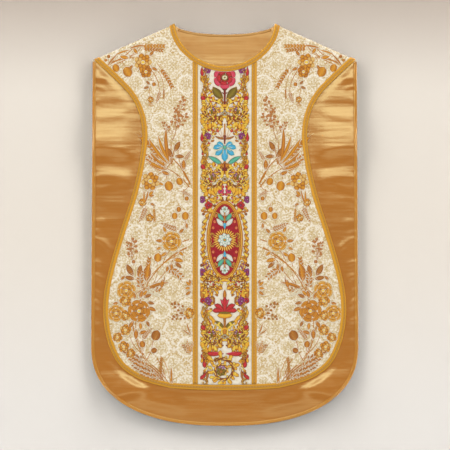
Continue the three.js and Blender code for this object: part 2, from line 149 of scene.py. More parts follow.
@dataclass(frozen=True)
class Cut:
    """Sizes and outlines of the two panels, with +Y towards the neck and the origin under the middle."""

    top: float = 552.0
    front_length: float = 1005.0
    tip: float = 363.0
    front_tip: float = 359.0
    half_width: float = 367.0
    neck: float = 137.0
    slope: float = radians(23.9)
    front_neck_depth: float = 117.0
    back_neck_depth: float = 28.5
    front_neck_power: float = 1.85
    hem_rise: float = 222.0
    hem_power: float = 2.35
    hem_corner: float = 150.0
    braid: float = 14.0
    front_side: tuple[tuple[float, float], ...] = (
        (150, -447), (206, -433), (248, -416), (290, -383), (318, -329), (332, -262), (331, -190),
        (314, -109), (284, -9), (252, 91), (231, 190), (226, 257), (237, 313), (260, 356), (300, 399),
    )

    @property
    def hem(self) -> float:
        """Lowest point of the front panel."""
        return self.top - self.front_length

    def shoulder_y(self, x: Array) -> Array:
        """Height of the shoulder line."""
        return self.top - (np.abs(x) - self.neck) * tan(self.slope)

    def below(self, x: Array, y: Array) -> Array:
        """Distance below the nearer shoulder line, square to it."""
        return (self.shoulder_y(x) - y) * cos(self.slope)

    def round(self, share: Array, power: float) -> Array:
        """What a superellipse has left of its depth at a share of its half width."""
        return np.maximum(0, 1 - np.abs(share) ** power) ** (1 / power)

    def front_neck_y(self, x: Array) -> Array:
        """Height of the front's neck edge."""
        return self.top - self.front_neck_depth * self.round(x / self.neck, self.front_neck_power)

    def back_neck_y(self, x: Array) -> Array:
        """Height of the back's neck edge."""
        return self.top - self.back_neck_depth * self.round(x / self.neck, 2)

    def front_hem_y(self, x: Array) -> Array:
        """Height of the front's hem between its corners."""
        return self.hem + (self.front_side[0][1] - self.hem) * (x / self.hem_corner) ** 2

    def back_hem_y(self, x: Array) -> Array:
        """Height of the back's hem."""
        return self.hem_rise * (1 - self.round(x / self.half_width, self.hem_power)) - self.top

    def side(self) -> Array:
        """The front's right side, from the hem's corner up to the shoulder's tip."""
        knots = np.array([*self.front_side, (self.front_tip, self.shoulder_y(self.front_tip))], float)
        first, last = 2 * knots[0] - knots[1], 2 * knots[-1] - knots[-2]
        knots = np.vstack([first, knots, last])
        line = []
        for p0, p1, p2, p3 in zip(knots, knots[1:], knots[2:], knots[3:]):
            t1, t2, t3 = np.cumsum(
                [np.linalg.norm(b - a) ** 0.5 for a, b in ((p0, p1), (p1, p2), (p2, p3))]
            )
            for t in np.linspace(t1, t2, 14)[:-1]:
                a1, a2 = p0 + (p1 - p0) * t / t1, p1 + (p2 - p1) * (t - t1) / (t2 - t1)
                a3 = p2 + (p3 - p2) * (t - t2) / (t3 - t2)
                b1, b2 = a1 + (a2 - a1) * t / t2, a2 + (a3 - a2) * (t - t1) / (t3 - t1)
                line.append(b1 + (b2 - b1) * (t - t1) / (t2 - t1))
        return np.array([*line, knots[-2]])

    def back_side(self) -> Array:
        """The back's right side, from the middle of the hem up to the shoulder's tip."""
        angle = np.linspace(0, 1, 90) * pi / 2
        x = self.half_width * np.sin(angle) ** (2 / self.hem_power)
        y = self.back_hem_y(x)
        return np.array([*zip(x, y), (self.tip, self.shoulder_y(self.tip))])

    def border(self) -> Array:
        """The front's edge from the right shoulder's tip to the middle of the hem."""
        x = np.linspace(self.hem_corner, 0, 9)[1:]
        return np.vstack([self.side()[::-1], np.stack([x, self.front_hem_y(x)], axis=1)])

    def scoop(self) -> Array:
        """The front's neck edge from the right neck point to the middle."""
        x = self.neck * np.cos(np.linspace(0, pi / 2, 60))
        return np.stack([x, self.front_neck_y(x)], axis=1)

    def front_outline(self) -> Array:
        """The whole front panel."""
        half = np.vstack([self.border()[::-1], self.scoop()])
        return np.vstack([half, mirrored(half)[::-1]])

    def back_outline(self) -> Array:
        """The whole back panel."""
        x = self.neck * np.cos(np.linspace(0, pi / 2, 24))
        half = np.vstack([self.back_side(), np.stack([x, self.back_neck_y(x)], axis=1)])
        return np.vstack([half, mirrored(half)[-2:0:-1]])


CUT = Cut()


# Surfaces that the cloth follows


class Surface:
    """A flat pattern's place in space. Points are in millimetres."""

    def base(self, x: Array, y: Array) -> Array:
        """Where the underside of the cloth lies."""
        raise NotImplementedError

    def place(self, x: Array, y: Array, lift: Array | float) -> Array:
        """Points at a height above the underside, square to the cloth."""
        x, y = np.broadcast_arrays(np.asarray(x, float), np.asarray(y, float))
        step = 0.2
        across = self.base(x + step, y) - self.base(x - step, y)
        upwards = self.base(x, y + step) - self.base(x, y - step)
        normal = np.cross(across, upwards)
        normal /= np.linalg.norm(normal, axis=-1)[..., None]
        return self.base(x, y) + normal * np.broadcast_to(lift, x.shape)[..., None]


@dataclass(frozen=True)
class FrontSurface(Surface):
    """The front panel's underside: rolled at the shoulders, resting on the lining below them."""

    wall: float = 2.4
    seat: float = LINING_SEAT
    rest: float = 3.9
    rise: float = 2.0
    crest: float = 90.0
    reach: float = 360.0
    armhole_y: float = 250.0
    armhole_lift: float = 3.0
    armhole_spread: float = 130.0
    wave: float = 0.7
    wave_length: float = 420.0

    @property
    def roll(self) -> float:
        """Inner radius of the roll at a shoulder."""
        return self.wall / (pi / 2 - 1)

    @property
    def roll_length(self) -> float:
        """Cloth that the roll takes up."""
        return self.roll * pi / 2

    def base(self, x: Array, y: Array) -> Array:
        """Where the underside of the front lies."""
        below = CUT.below(x, y)
        turn = np.minimum(below, self.roll_length) / self.roll
        shift = np.minimum(below, self.roll_length) - self.wall - self.roll * (1 - np.cos(turn))
        soft = (CUT.shoulder_y(np.hypot(x, 60)) - y) * cos(CUT.slope)
        settled = smooth(soft, self.crest, self.reach)
        drop = self.seat + self.roll - self.rest
        loft = (drop + self.rise * smooth(soft, self.roll_length, self.crest)) * (1 - settled)
        armhole = np.exp(
            -(((y - self.armhole_y) / self.armhole_spread) ** 2)
        ) * smooth(np.abs(x) / 226, 0.55, 1.1)
        wave = self.wave * (0.5 - 0.5 * np.cos(2 * pi * (y - CUT.hem) / self.wave_length))
        flat = self.rest + loft + (self.armhole_lift * armhole + wave) * settled
        rolled = below < self.roll_length
        px = np.where(rolled, x + np.sign(x) * sin(CUT.slope) * shift, x)
        py = np.where(rolled, y + cos(CUT.slope) * shift, y)
        pz = np.where(rolled, self.seat + self.roll * np.sin(turn), flat)
        return np.stack([px, py, pz], axis=-1)


@dataclass(frozen=True)
class LiningSurface(Surface):
    """The lining's underside with its creases, flat under the front and at the edge."""

    seat: float = LINING_SEAT
    ridges: tuple[Ridge, ...] = ()
    edge_fade: tuple[float, float] = (-1.0, 9.0)
    front_fade: tuple[float, float] = (1.0, 22.0)
    neck_fade: tuple[float, float] = (2.0, 16.0)

    def base(self, x: Array, y: Array) -> Array:
        """Where the underside of the lining lies."""
        return np.stack([x, y, np.full(np.shape(x), self.seat)], axis=-1)

    def creased(self, x: Array, y: Array) -> Array:
        """How far the creases raise the cloth."""
        raised = np.zeros(x.shape)
        for ridge in self.ridges:
            turn = radians(ridge.angle)
            dx, dy = np.abs(x) - ridge.x, y - ridge.y
            run = dx * cos(turn) + dy * sin(turn)
            off = dy * cos(turn) - dx * sin(turn) - ridge.bow * (2 * run / ridge.length) ** 2
            end = smooth(ridge.length / 2 - np.abs(run), -ridge.length / 4, ridge.length / 4)
            width = np.where(off > 0, ridge.width * ridge.upper, ridge.width)
            raised += ridge.height * end * np.exp(-((off / width) ** 2))
        edge = smooth(inside_by(CUT.back_outline(), x, y), *self.edge_fade)
        free = smooth(-inside_by(CUT.front_outline(), x, y), *self.front_fade)
        neck = smooth(inside_by(NECK_WINDOW, x, y), *self.neck_fade)
        return raised * edge * np.maximum(free, neck)


@dataclass(frozen=True)
class Creased(Surface):
    """The creased lining, for what is sewn on it."""

    lining: LiningSurface

    def base(self, x: Array, y: Array) -> Array:
        """Where the underside of the creased lining lies."""
        flat = self.lining.base(x, y)
        flat[..., 2] += self.lining.creased(x, y)
        return flat


NECK_WINDOW = np.vstack([CUT.scoop(), mirrored(CUT.scoop())[::-1], [(-CUT.neck, 560), (CUT.neck, 560)]])
FRONT = FrontSurface()
ROLL_ROWS = 8


# Meshes


@dataclass
class Sheet:
    """A mesh being made: points in millimetres, faces, and a flat pattern and colour for each point."""

    name: str
    points: list[Array] = field(default_factory=list)
    faces: list[Array] = field(default_factory=list)
    pattern: list[Array] = field(default_factory=list)
    colours: list[Array] = field(default_factory=list)
    count: int = 0

    def add(self, points: Array, faces: Array, pattern: Array, colours: Array | None = None) -> None:
        """Adds points and the faces between them, which are counted from the first of those points."""
        self.points.append(points)
        self.faces.append(faces + self.count)
        self.pattern.append(pattern)
        self.colours.append(np.ones((len(points), 4)) if colours is None else colours)
        self.count += len(points)

    def build(self, material: Material, slot: str, replaces: Sequence[str] = ()) -> Object:
        """Makes the object, dresses it and puts it on the body.

        Args:
            material: The finish of the whole mesh.
            slot: Not used.
            replaces: CAD nodes that it stands for.

        Returns:
            The new object.
        """
        faces = np.concatenate(self.faces)
        mesh = bpy.data.meshes.new(self.name)
        mesh.from_pydata((np.concatenate(self.points) * MM).tolist(), [], faces.tolist())
        corners = faces.reshape(-1)
        layer = mesh.uv_layers.new(name="pattern")
        layer.data.foreach_set("uv", np.concatenate(self.pattern)[corners].astype(np.float32).reshape(-1))
        paint = mesh.color_attributes.new(COLOUR_LAYER, "FLOAT_COLOR", "POINT")
        paint.data.foreach_set("color", np.concatenate(self.colours).astype(np.float32).reshape(-1))
        mesh.shade_smooth()
        mesh.materials.append(material)
        mesh.validate()
        mesh.update()
        made = stood(self.name, mesh)
        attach(made, BODY)
        if replaces:
            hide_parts(*replaces)
        LOG.info("%s: %d faces", self.name, len(mesh.polygons))
        return made


def grid_faces(rows: int, columns: int) -> Array:
    """Four-cornered faces between the points of a grid, facing up."""
    start = np.arange(rows - 1)[:, None] * columns + np.arange(columns - 1)[None, :]
    return np.stack([start, start + 1, start + columns + 1, start + columns], axis=-1).reshape(-1, 4)


def pattern_of(grid: Array) -> Array:
    """Distances across and along a grid of pattern points, in millimetres."""
    across = np.concatenate(
        [np.zeros((len(grid), 1)), np.cumsum(np.linalg.norm(np.diff(grid, axis=1), axis=2), axis=1)], axis=1
    )
    middle = lengths(grid[:, grid.shape[1] // 2])
    return np.stack([across, np.broadcast_to(middle[:, None], across.shape)], axis=-1).reshape(-1, 2)


def cloth_wall(
    sheet: Sheet, grid: Array, surface: Surface, lower: Array | float, upper: Array | float
) -> None:
    """Adds a closed cloth wall over a grid of pattern points.

    Args:
        sheet: The mesh that gets it.
        grid: Rows of x, y points.
        surface: What the cloth follows.
        lower: Height of its underside above the surface.
        upper: Height of its upper side above the surface.
    """
    (x0, y0), (x1, y1), (x2, y2) = grid[0, 0], grid[0, -1], grid[1, 0]
    if (x1 - x0) * (y2 - y0) - (y1 - y0) * (x2 - x0) < 0:
        grid = grid[:, ::-1]
        lower, upper = (h[:, ::-1] if isinstance(h, Array) and h.ndim == 2 else h for h in (lower, upper))
    rows, columns = grid.shape[:2]
    x, y = grid[..., 0], grid[..., 1]
    top = surface.place(x, y, upper).reshape(-1, 3)
    bottom = surface.place(x, y, lower).reshape(-1, 3)
    faces = grid_faces(rows, columns)
    index = np.arange(rows * columns).reshape(rows, columns)
    rim = np.concatenate([index[0], index[1:, -1], index[-1, -2::-1], index[-2:0:-1, 0]])
    after = np.roll(rim, -1)
    below = rows * columns
    sides = np.stack([rim + below, after + below, after, rim], axis=1)
    pattern = pattern_of(grid)
    everything = np.concatenate([faces, faces[:, ::-1] + below, sides])
    sheet.add(np.vstack([top, bottom]), everything, np.vstack([pattern, pattern]))


def filled_grid(hem: Array, top: Array, right: Array) -> Array:
    """Fills the space between a hem, a top and two mirrored sides with rows of points."""
    across = ((top[:, 0] - top[0, 0]) / (top[-1, 0] - top[0, 0]))[None, :, None]
    up = (lengths(right) / lengths(right)[-1])[:, None, None]
    left = mirrored(right)
    between = (1 - up) * hem[None] + up * top[None] + (1 - across) * left[:, None] + across * right[:, None]
    low = (1 - across) * hem[0] + across * hem[-1]
    high = (1 - across) * top[0] + across * top[-1]
    return between - (1 - up) * low - up * high


def band(one: Array, other: Array, count: int) -> Array:
    """Rows of points across a band between its two edges."""
    share = np.linspace(0, 1, count + 1)[None, :, None]
    return one[:, None] * (1 - share) + other[:, None] * share


def both_halves(half: Array) -> Array:
    """Half a band, from a shoulder to the middle, followed by its mirror image."""
    half = half.copy()
    half[-1, :, 0] = 0
    return np.vstack([half, mirrored(half)[-2::-1]])


def from_shoulder(line: Array, step: float, count: int = 0) -> Array:
    """Points of a line that leaves a shoulder: close over the roll, then a step apart, or count in all."""
    fine = evenly(line, int(lengths(line)[-1] / 0.1))
    depth = np.maximum.accumulate(CUT.below(fine[:, 0], fine[:, 1]))
    reached = lengths(fine)
    roll = np.interp(np.linspace(0, FRONT.roll_length, ROLL_ROWS), depth, reached)
    left = count - ROLL_ROWS + 1 if count else int((reached[-1] - roll[-1]) / step) + 1
    return along(fine, np.concatenate([roll, np.linspace(roll[-1], reached[-1], left)[1:]]))


# Materials


class Wire:
    """A number inside a node tree, with Python arithmetic on it."""

    def __init__(self, graph: "Graph", socket: NodeSocket) -> None:
        """Keeps the socket and the graph that it belongs to."""
        self.graph = graph
        self.socket = socket

    def __add__(self, other: "Wire | float") -> "Wire":
        """Sum."""
        return self.graph.math("ADD", self, other)

    def __sub__(self, other: "Wire | float") -> "Wire":
        """Difference."""
        return self.graph.math("SUBTRACT", self, other)

    def __mul__(self, other: "Wire | float") -> "Wire":
        """Product."""
        return self.graph.math("MULTIPLY", self, other)

    def __abs__(self) -> "Wire":
        """Size without sign."""
        return self.graph.math("ABSOLUTE", self)

    def wrapped(self, period: float, offset: float = 0.0) -> "Wire":
        """Distance from the nearest of a row of evenly spaced lines, with sign."""
        return self.graph.math("WRAP", self - offset, period / 2, -period / 2)

    def near(self, value: "Wire | float", width: float, blur: float) -> "Wire":
        """1 within half a width of a value, fading to 0 over the blur."""
        return self.graph.step(abs(self - value), width / 2 + blur, width / 2)


class Graph:
    """A material's node tree with one principled shader."""

    def __init__(self, name: str, roughness: float, metallic: float = 0.0, sheen: float = 0.0,
                 specular: float = 0.5) -> None:
        """Makes the material with the values that are the same all over."""
        self.material = bpy.data.materials.new(name)
        self.material.use_nodes = True
        self.tree = self.material.node_tree
        self.shader = self.tree.nodes["Principled BSDF"]
        self.set("Roughness", roughness)
        self.set("Metallic", metallic)
        self.set("Sheen Weight", sheen)
        self.set("Sheen Roughness", 0.4)
        self.set("Specular IOR Level", specular)

    def set(self, name: str, value: float) -> None:
        """Sets one of the shader's own values."""
        self.shader.inputs[name].default_value = value

    def feed(self, socket: NodeSocket, value: "Wire | float | tuple[float, ...]") -> None:
        """Puts a wire or a plain value into a socket."""
        if isinstance(value, Wire):
            self.tree.links.new(value.socket, socket)
        else:
            socket.default_value = value

    def math(self, operation: str, *values: "Wire | float") -> Wire:
        """One math node."""
        node = self.tree.nodes.new("ShaderNodeMath")
        node.operation = operation
        for socket, value in zip(node.inputs, values):
            self.feed(socket, value)
        return Wire(self, node.outputs[0])

    def step(self, value: Wire, low: float, high: float) -> Wire:
        """A soft step from 0 at low to 1 at high."""
        node = self.tree.nodes.new("ShaderNodeMapRange")
        node.interpolation_type = "SMOOTHSTEP"
        rising = high > low
        self.feed(node.inputs["Value"], value)
        ends = (min(low, high), max(low, high), 0.0 if rising else 1.0, 1.0 if rising else 0.0)
        for name, end in zip(("From Min", "From Max", "To Min", "To Max"), ends):
            node.inputs[name].default_value = end
        return Wire(self, node.outputs["Result"])

    def split(self, socket: NodeSocket, scale: float) -> tuple[Wire, Wire, Wire]:
        """The three parts of a vector, scaled."""
        node = self.tree.nodes.new("ShaderNodeSeparateXYZ")
        self.tree.links.new(socket, node.inputs[0])
        return tuple(Wire(self, output) * scale for output in node.outputs)

    def place(self) -> tuple[Wire, Wire, Wire]:
        """Where a point lies on the garment, in millimetres."""
        return self.split(self.tree.nodes.new("ShaderNodeTexCoord").outputs["Object"], 1 / MM)

    def pattern(self) -> tuple[Wire, Wire]:
        """Distances across and along the flat pattern, in millimetres."""
        node = self.tree.nodes.new("ShaderNodeUVMap")
        node.uv_map = "pattern"
        return self.split(node.outputs[0], 1.0)[:2]

    def noise(self, scale: tuple[float, float, float], detail: float = 2.0) -> Wire:
        """Noise on the garment, with repeats per metre along each axis."""
        mapping = self.tree.nodes.new("ShaderNodeMapping")
        mapping.inputs["Scale"].default_value = scale
        self.tree.links.new(
            self.tree.nodes.new("ShaderNodeTexCoord").outputs["Object"], mapping.inputs["Vector"]
        )
        node = self.tree.nodes.new("ShaderNodeTexNoise")
        node.inputs["Scale"].default_value = 1.0
        node.inputs["Detail"].default_value = detail
        self.tree.links.new(mapping.outputs[0], node.inputs["Vector"])
        return Wire(self, node.outputs["Fac"])

    def colour(self, name: str) -> Wire:
        """The colour painted on the mesh's points."""
        node = self.tree.nodes.new("ShaderNodeAttribute")
        node.attribute_name = name
        return Wire(self, node.outputs["Color"])

    def mix(self, share: Wire | float, one: Wire | str, other: Wire | str, blend: str = "MIX") -> Wire:
        """Two colours mixed."""
        node = self.tree.nodes.new("ShaderNodeMix")
        node.data_type = "RGBA"
        node.blend_type = blend
        self.feed(node.inputs[0], share)
        for socket, value in ((node.inputs[6], one), (node.inputs[7], other)):
            self.feed(socket, linear(value) if isinstance(value, str) else value)
        return Wire(self, node.outputs[2])

    def finish(self, colour: Wire, height: Wire, depth: float) -> Material:
        """Joins the colour and the bump, whose depth is in millimetres, and hands the material over."""
        self.feed(self.shader.inputs["Base Color"], colour)
        bump = self.tree.nodes.new("ShaderNodeBump")
        bump.inputs["Distance"].default_value = depth * MM
        bump.inputs["Strength"].default_value = 1.0
        self.feed(bump.inputs["Height"], height)
        self.tree.links.new(bump.outputs[0], self.shader.inputs["Normal"])
        return self.material


@dataclass(frozen=True)
class Brocade:
    """Ivory brocade with rows of lace rings and pale gold lines between them."""

    name: str
    period: tuple[float, float] = (70.0, 103.0)
    start: float = -26.0
    ring: float = 24.5
    ground: str = "DFCDA4"
    lace: str = "FAF4E6"
    vine: str = "BE9648"
    heart: str = "C0A468"
    gold_grain: float = 270.0
    white_grain: float = 200.0

    def rings(self, graph: Graph, x: Wire, y: Wire) -> tuple[Wire, Wire]:
        """The white rings of one half of the lattice, and the dull gold rosettes inside them."""
        distance = graph.math("SQRT", x * x + y * y)
        angle = graph.math("ARCTAN2", y, x)
        frill = graph.math("COSINE", angle * 18.0)
        petals = graph.math("COSINE", angle * 8.0)
        white = (distance + frill * 0.8).near(self.ring, 3.3, 1.8)
        white = graph.math("MAXIMUM", white, distance.near(self.ring - 7.0, 0.8, 0.9) * 0.5)
        gold = (distance - petals * 1.8).near(7.0, 1.4, 1.4)
        gold = graph.math("MAXIMUM", gold, distance.near(0.0, 2.6, 1.2))
        leaves = graph.step(petals, 0.3, 0.9) * distance.near(13.5, 3.6, 2.4) * 0.6
        gold = graph.math("MAXIMUM", gold, leaves)
        return white, gold

    def material(self) -> Material:
        """Makes the finish."""
        graph = Graph(self.name, roughness=0.6, sheen=0.1, specular=0.35)
        x, y, _ = graph.place()
        across, up = self.period
        lace, hearts = self.rings(graph, x.wrapped(across, across / 2), y.wrapped(up, self.start))
        between, stars = self.rings(graph, x.wrapped(across, 0.0), y.wrapped(up, up / 2 + self.start))
        lace = graph.math("MAXIMUM", lace, between * 0.3)
        hearts = graph.math("MAXIMUM", hearts, stars)
        waves = graph.math("COSINE", (x - across / 2) * (2 * pi / across))
        waves = waves + graph.math("COSINE", (y - self.start) * (2 * pi / up))
        wander = graph.noise((60.0, 60.0, 60.0), 3.0)
        drawn = waves + (wander - 0.5) * 0.8
        vines = graph.math(
            "MAXIMUM", abs(drawn).near(0.34, 0.07, 0.1), abs(drawn).near(0.0, 0.05, 0.08) * 0.7
        )
        gold = graph.step(graph.noise((self.gold_grain,) * 3), 0.52, 0.59)
        white = graph.step(graph.noise((self.white_grain,) * 3), 0.49, 0.56)
        ground = graph.mix(gold * 0.5, self.ground, self.vine)
        ground = graph.mix(vines * 0.7, ground, self.vine)
        ground = graph.mix(white * 0.75, ground, self.lace)
        ground = graph.mix(hearts * 0.7, ground, self.heart)
        colour = graph.mix(lace * (white * 0.35 + 0.6), ground, self.lace)
        weave = graph.math("SINE", (x + y) * (2 * pi / 1.1)) * 0.12
        height = lace * 0.7 + vines * 0.4 + white * 0.3 + weave
        return graph.finish(colour, height, 0.16)


@dataclass(frozen=True)
class Satin:
    """Old gold satin: a smooth cloth whose gloss follows every crease."""

    name: str
    base: str = "B46707"
    deep: str = "A55B04"
    gloss: str = "FFFFC0"
    slub: str = "D9AE68"
    roughness: float = 0.27
    neck_roughness: float = 0.41

    def material(self) -> Material:
        """Makes the finish."""
        graph = Graph(self.name, self.roughness, sheen=0.05)
        graph.set("IOR", 2.0)
        x, y, _ = graph.place()
        neck = graph.step(y, 440.0, 480.0) * graph.step(abs(x), 150.0, 110.0)
        dull = neck * (self.neck_roughness - self.roughness) + self.roughness
        graph.feed(graph.shader.inputs["Roughness"], dull)
        graph.shader.inputs["Specular Tint"].default_value = linear(self.gloss)
        cloudy = graph.step(graph.noise((5.0, 9.0, 5.0), 2.0), 0.35, 0.7)
        slubs = graph.noise((14.0, 700.0, 14.0), 2.0)
        colour = graph.mix(cloudy * 0.4, self.base, self.deep)
        colour = graph.mix(graph.step(slubs, 0.5, 0.8) * 0.12, colour, self.slub)
        weft = graph.math("SINE", y * (2 * pi / 0.9)) * 0.12
        ripple = graph.noise((5.0, 42.0, 5.0), 2.0)
        return graph.finish(colour, slubs * 0.35 + weft + ripple * 20.0, 0.06)


@dataclass(frozen=True)
class Galloon:
    """Woven gold braid with bright ribs at its edges and a chain of lozenges down the middle."""

    name: str
    width: float = 14.0
    edge: str = "D8981F"
    middle: str = "B98632"
    glint: str = "E9B94A"
    lozenge: str = "C99B6A"
    groove: str = "9A6A22"

    def material(self) -> Material:
        """Makes the finish."""
        graph = Graph(self.name, roughness=0.45, metallic=0.25, sheen=0.05, specular=0.3)
        across, run = graph.pattern()
        off = abs(across - self.width / 2)
        centre = graph.step(off, 2.9, 2.0)
        chain = graph.step(abs(run.wrapped(8.0)) * 0.7 + off, 2.4, 1.5)
        ribs = graph.math("SINE", run * (2 * pi / 1.5))
        selvedge = graph.step(off, self.width / 2 - 1.4, self.width / 2 - 0.7)
        lines = off.near(3.3, 0.5, 0.4)
        colour = graph.mix(graph.step(ribs, -0.4, 0.9) * 0.45, self.edge, self.glint)
        colour = graph.mix(centre, colour, self.middle)
        colour = graph.mix(chain * 0.55, colour, self.lozenge)
        colour = graph.mix(lines * 0.5, colour, self.groove)
        height = ribs * 0.25 + selvedge * 0.6 + chain * 0.5 - lines * 0.5
        return graph.finish(colour, height, 0.3)


@dataclass(frozen=True)
class ThreadWork:
    """Embroidery: each shape's colour, with painted shade at its edges and a painted highlight along its
    middle, broken up into laid threads.
    """

    name: str
    lit: str = "F6DFA0"
    shade: str = "9A6428"

    def material(self) -> Material:
        """Makes the finish."""
        graph = Graph(self.name, roughness=0.5, metallic=0.05, sheen=0.05, specular=0.3)
        across, run = graph.pattern()
        threads = graph.math("SINE", (run + abs(across) * 0.8) * (2 * pi / 0.9))
        fleck = graph.noise((420.0, 420.0, 420.0), 1.0)
        painted = graph.colour(COLOUR_LAYER)
        colour = graph.mix(graph.step(threads, -0.2, 1.0) * 0.14, painted, self.lit)
        colour = graph.mix(graph.step(fleck, 0.48, 0.66) * 0.2, colour, self.shade, "MULTIPLY")
        return graph.finish(colour, threads * 0.5 + fleck * 0.4, 0.25)


@dataclass(frozen=True)
class PlainWeave:
    """A plain woven ground in one colour, with its threads and a little unevenness."""

    name: str
    base: str
    tint: str
    roughness: float = 0.6

    def material(self) -> Material:
        """Makes the finish."""
        graph = Graph(self.name, roughness=self.roughness, sheen=0.1, specular=0.3)
        x, y, _ = graph.place()
        warp = graph.math("SINE", x * (2 * pi / 1.2))
        weft = graph.math("SINE", y * (2 * pi / 1.2))
        cloudy = graph.step(graph.noise((90.0, 90.0, 90.0), 3.0), 0.42, 0.66)
        return graph.finish(graph.mix(cloudy * 0.6, self.base, self.tint), warp * weft * 0.6, 0.2)


@dataclass(frozen=True)
class PaleFloor:
    """The studio's plain pale floor, with painted shade making it a little darker towards the neck's end.
    """

    near: str = "484746"
    middle: str = "474440"
    far: str = "2A2118"

    def material(self) -> Material:
        """Makes the finish."""
        graph = Graph("floor_paper", roughness=0.85)
        _, y, _ = graph.place()
        grain = graph.noise((400.0, 400.0, 400.0), 2.0)
        colour = graph.mix(graph.step(y, -620.0, 60.0), self.near, self.middle)
        # Painted shade: the floor's colour darkens towards the neck's end, like light falling off.
        return graph.finish(graph.mix(graph.step(y, 330.0, 740.0), colour, self.far), grain, 0.05)


# Embroidery


@dataclass(frozen=True)
class Thread:
    """A thread's colour, with painted shade at a shape's edges (dark) and a painted highlight along its
    middle (light).
    """

    dark: str
    light: str


GOLD = Thread("BE6E0E", "EEA628")
GILT = Thread("E89618", "FFCC3C")
HONEY = Thread("DCA044", "F8D486")
YELLOW = Thread("FAC42A", "FFE868")
AMBER = Thread("AC5E0C", "DE9026")
RUST = Thread("A0560E", "C47C2A")
BERRY = Thread("B0622A", "D08C4C")
OUTLINE = Thread("96480C", "AA5C14")
SHADE = Thread("80430A", "92500E")
UMBER = Thread("7C3606", "90440A")
IVORY = Thread("F4ECD4", "FFFBEE")
CRIMSON = Thread("A80420", "DE1438")
ROSE = Thread("CC1846", "F04C74")
WINE = Thread("620812", "8E121C")
PURPLE = Thread("6C1C68", "AC409C")
LILAC = Thread("A070A8", "CFA2D2")
OLIVE = Thread("5A480C", "94801E")
CYAN = Thread("10A0D8", "4CC8F4")
TEAL = Thread("24A08A", "62D2B8")
WHITE = Thread("DCE6DE", "FCFEF8")
CREAM = Thread("E6D8B0", "F8F0D4")
SEWING = Thread("A06A2A", "D9A65C")
GOLDS = (GOLD, YELLOW, AMBER, RUST)
LIGHTER = {GOLD: HONEY, AMBER: GOLD, RUST: AMBER}


class Profile(Enum):
    """How a shape's half width goes from its start to its end, as a share of the widest."""

    LEAF = "leaf"
    DROP = "drop"
    DISC = "disc"
    STEM = "stem"

    def widths(self, count: int) -> Array:
        """The shares at count points."""
        share = np.linspace(0, 1, count)
        if self is Profile.LEAF:
            return np.sin(pi * share) ** 0.85
        if self is Profile.DROP:
            return np.sin(pi * share**1.7) ** 0.8
        if self is Profile.DISC:
            return np.sqrt(np.maximum(0, 1 - (2 * share - 1) ** 2))
        return 1 - 0.55 * share


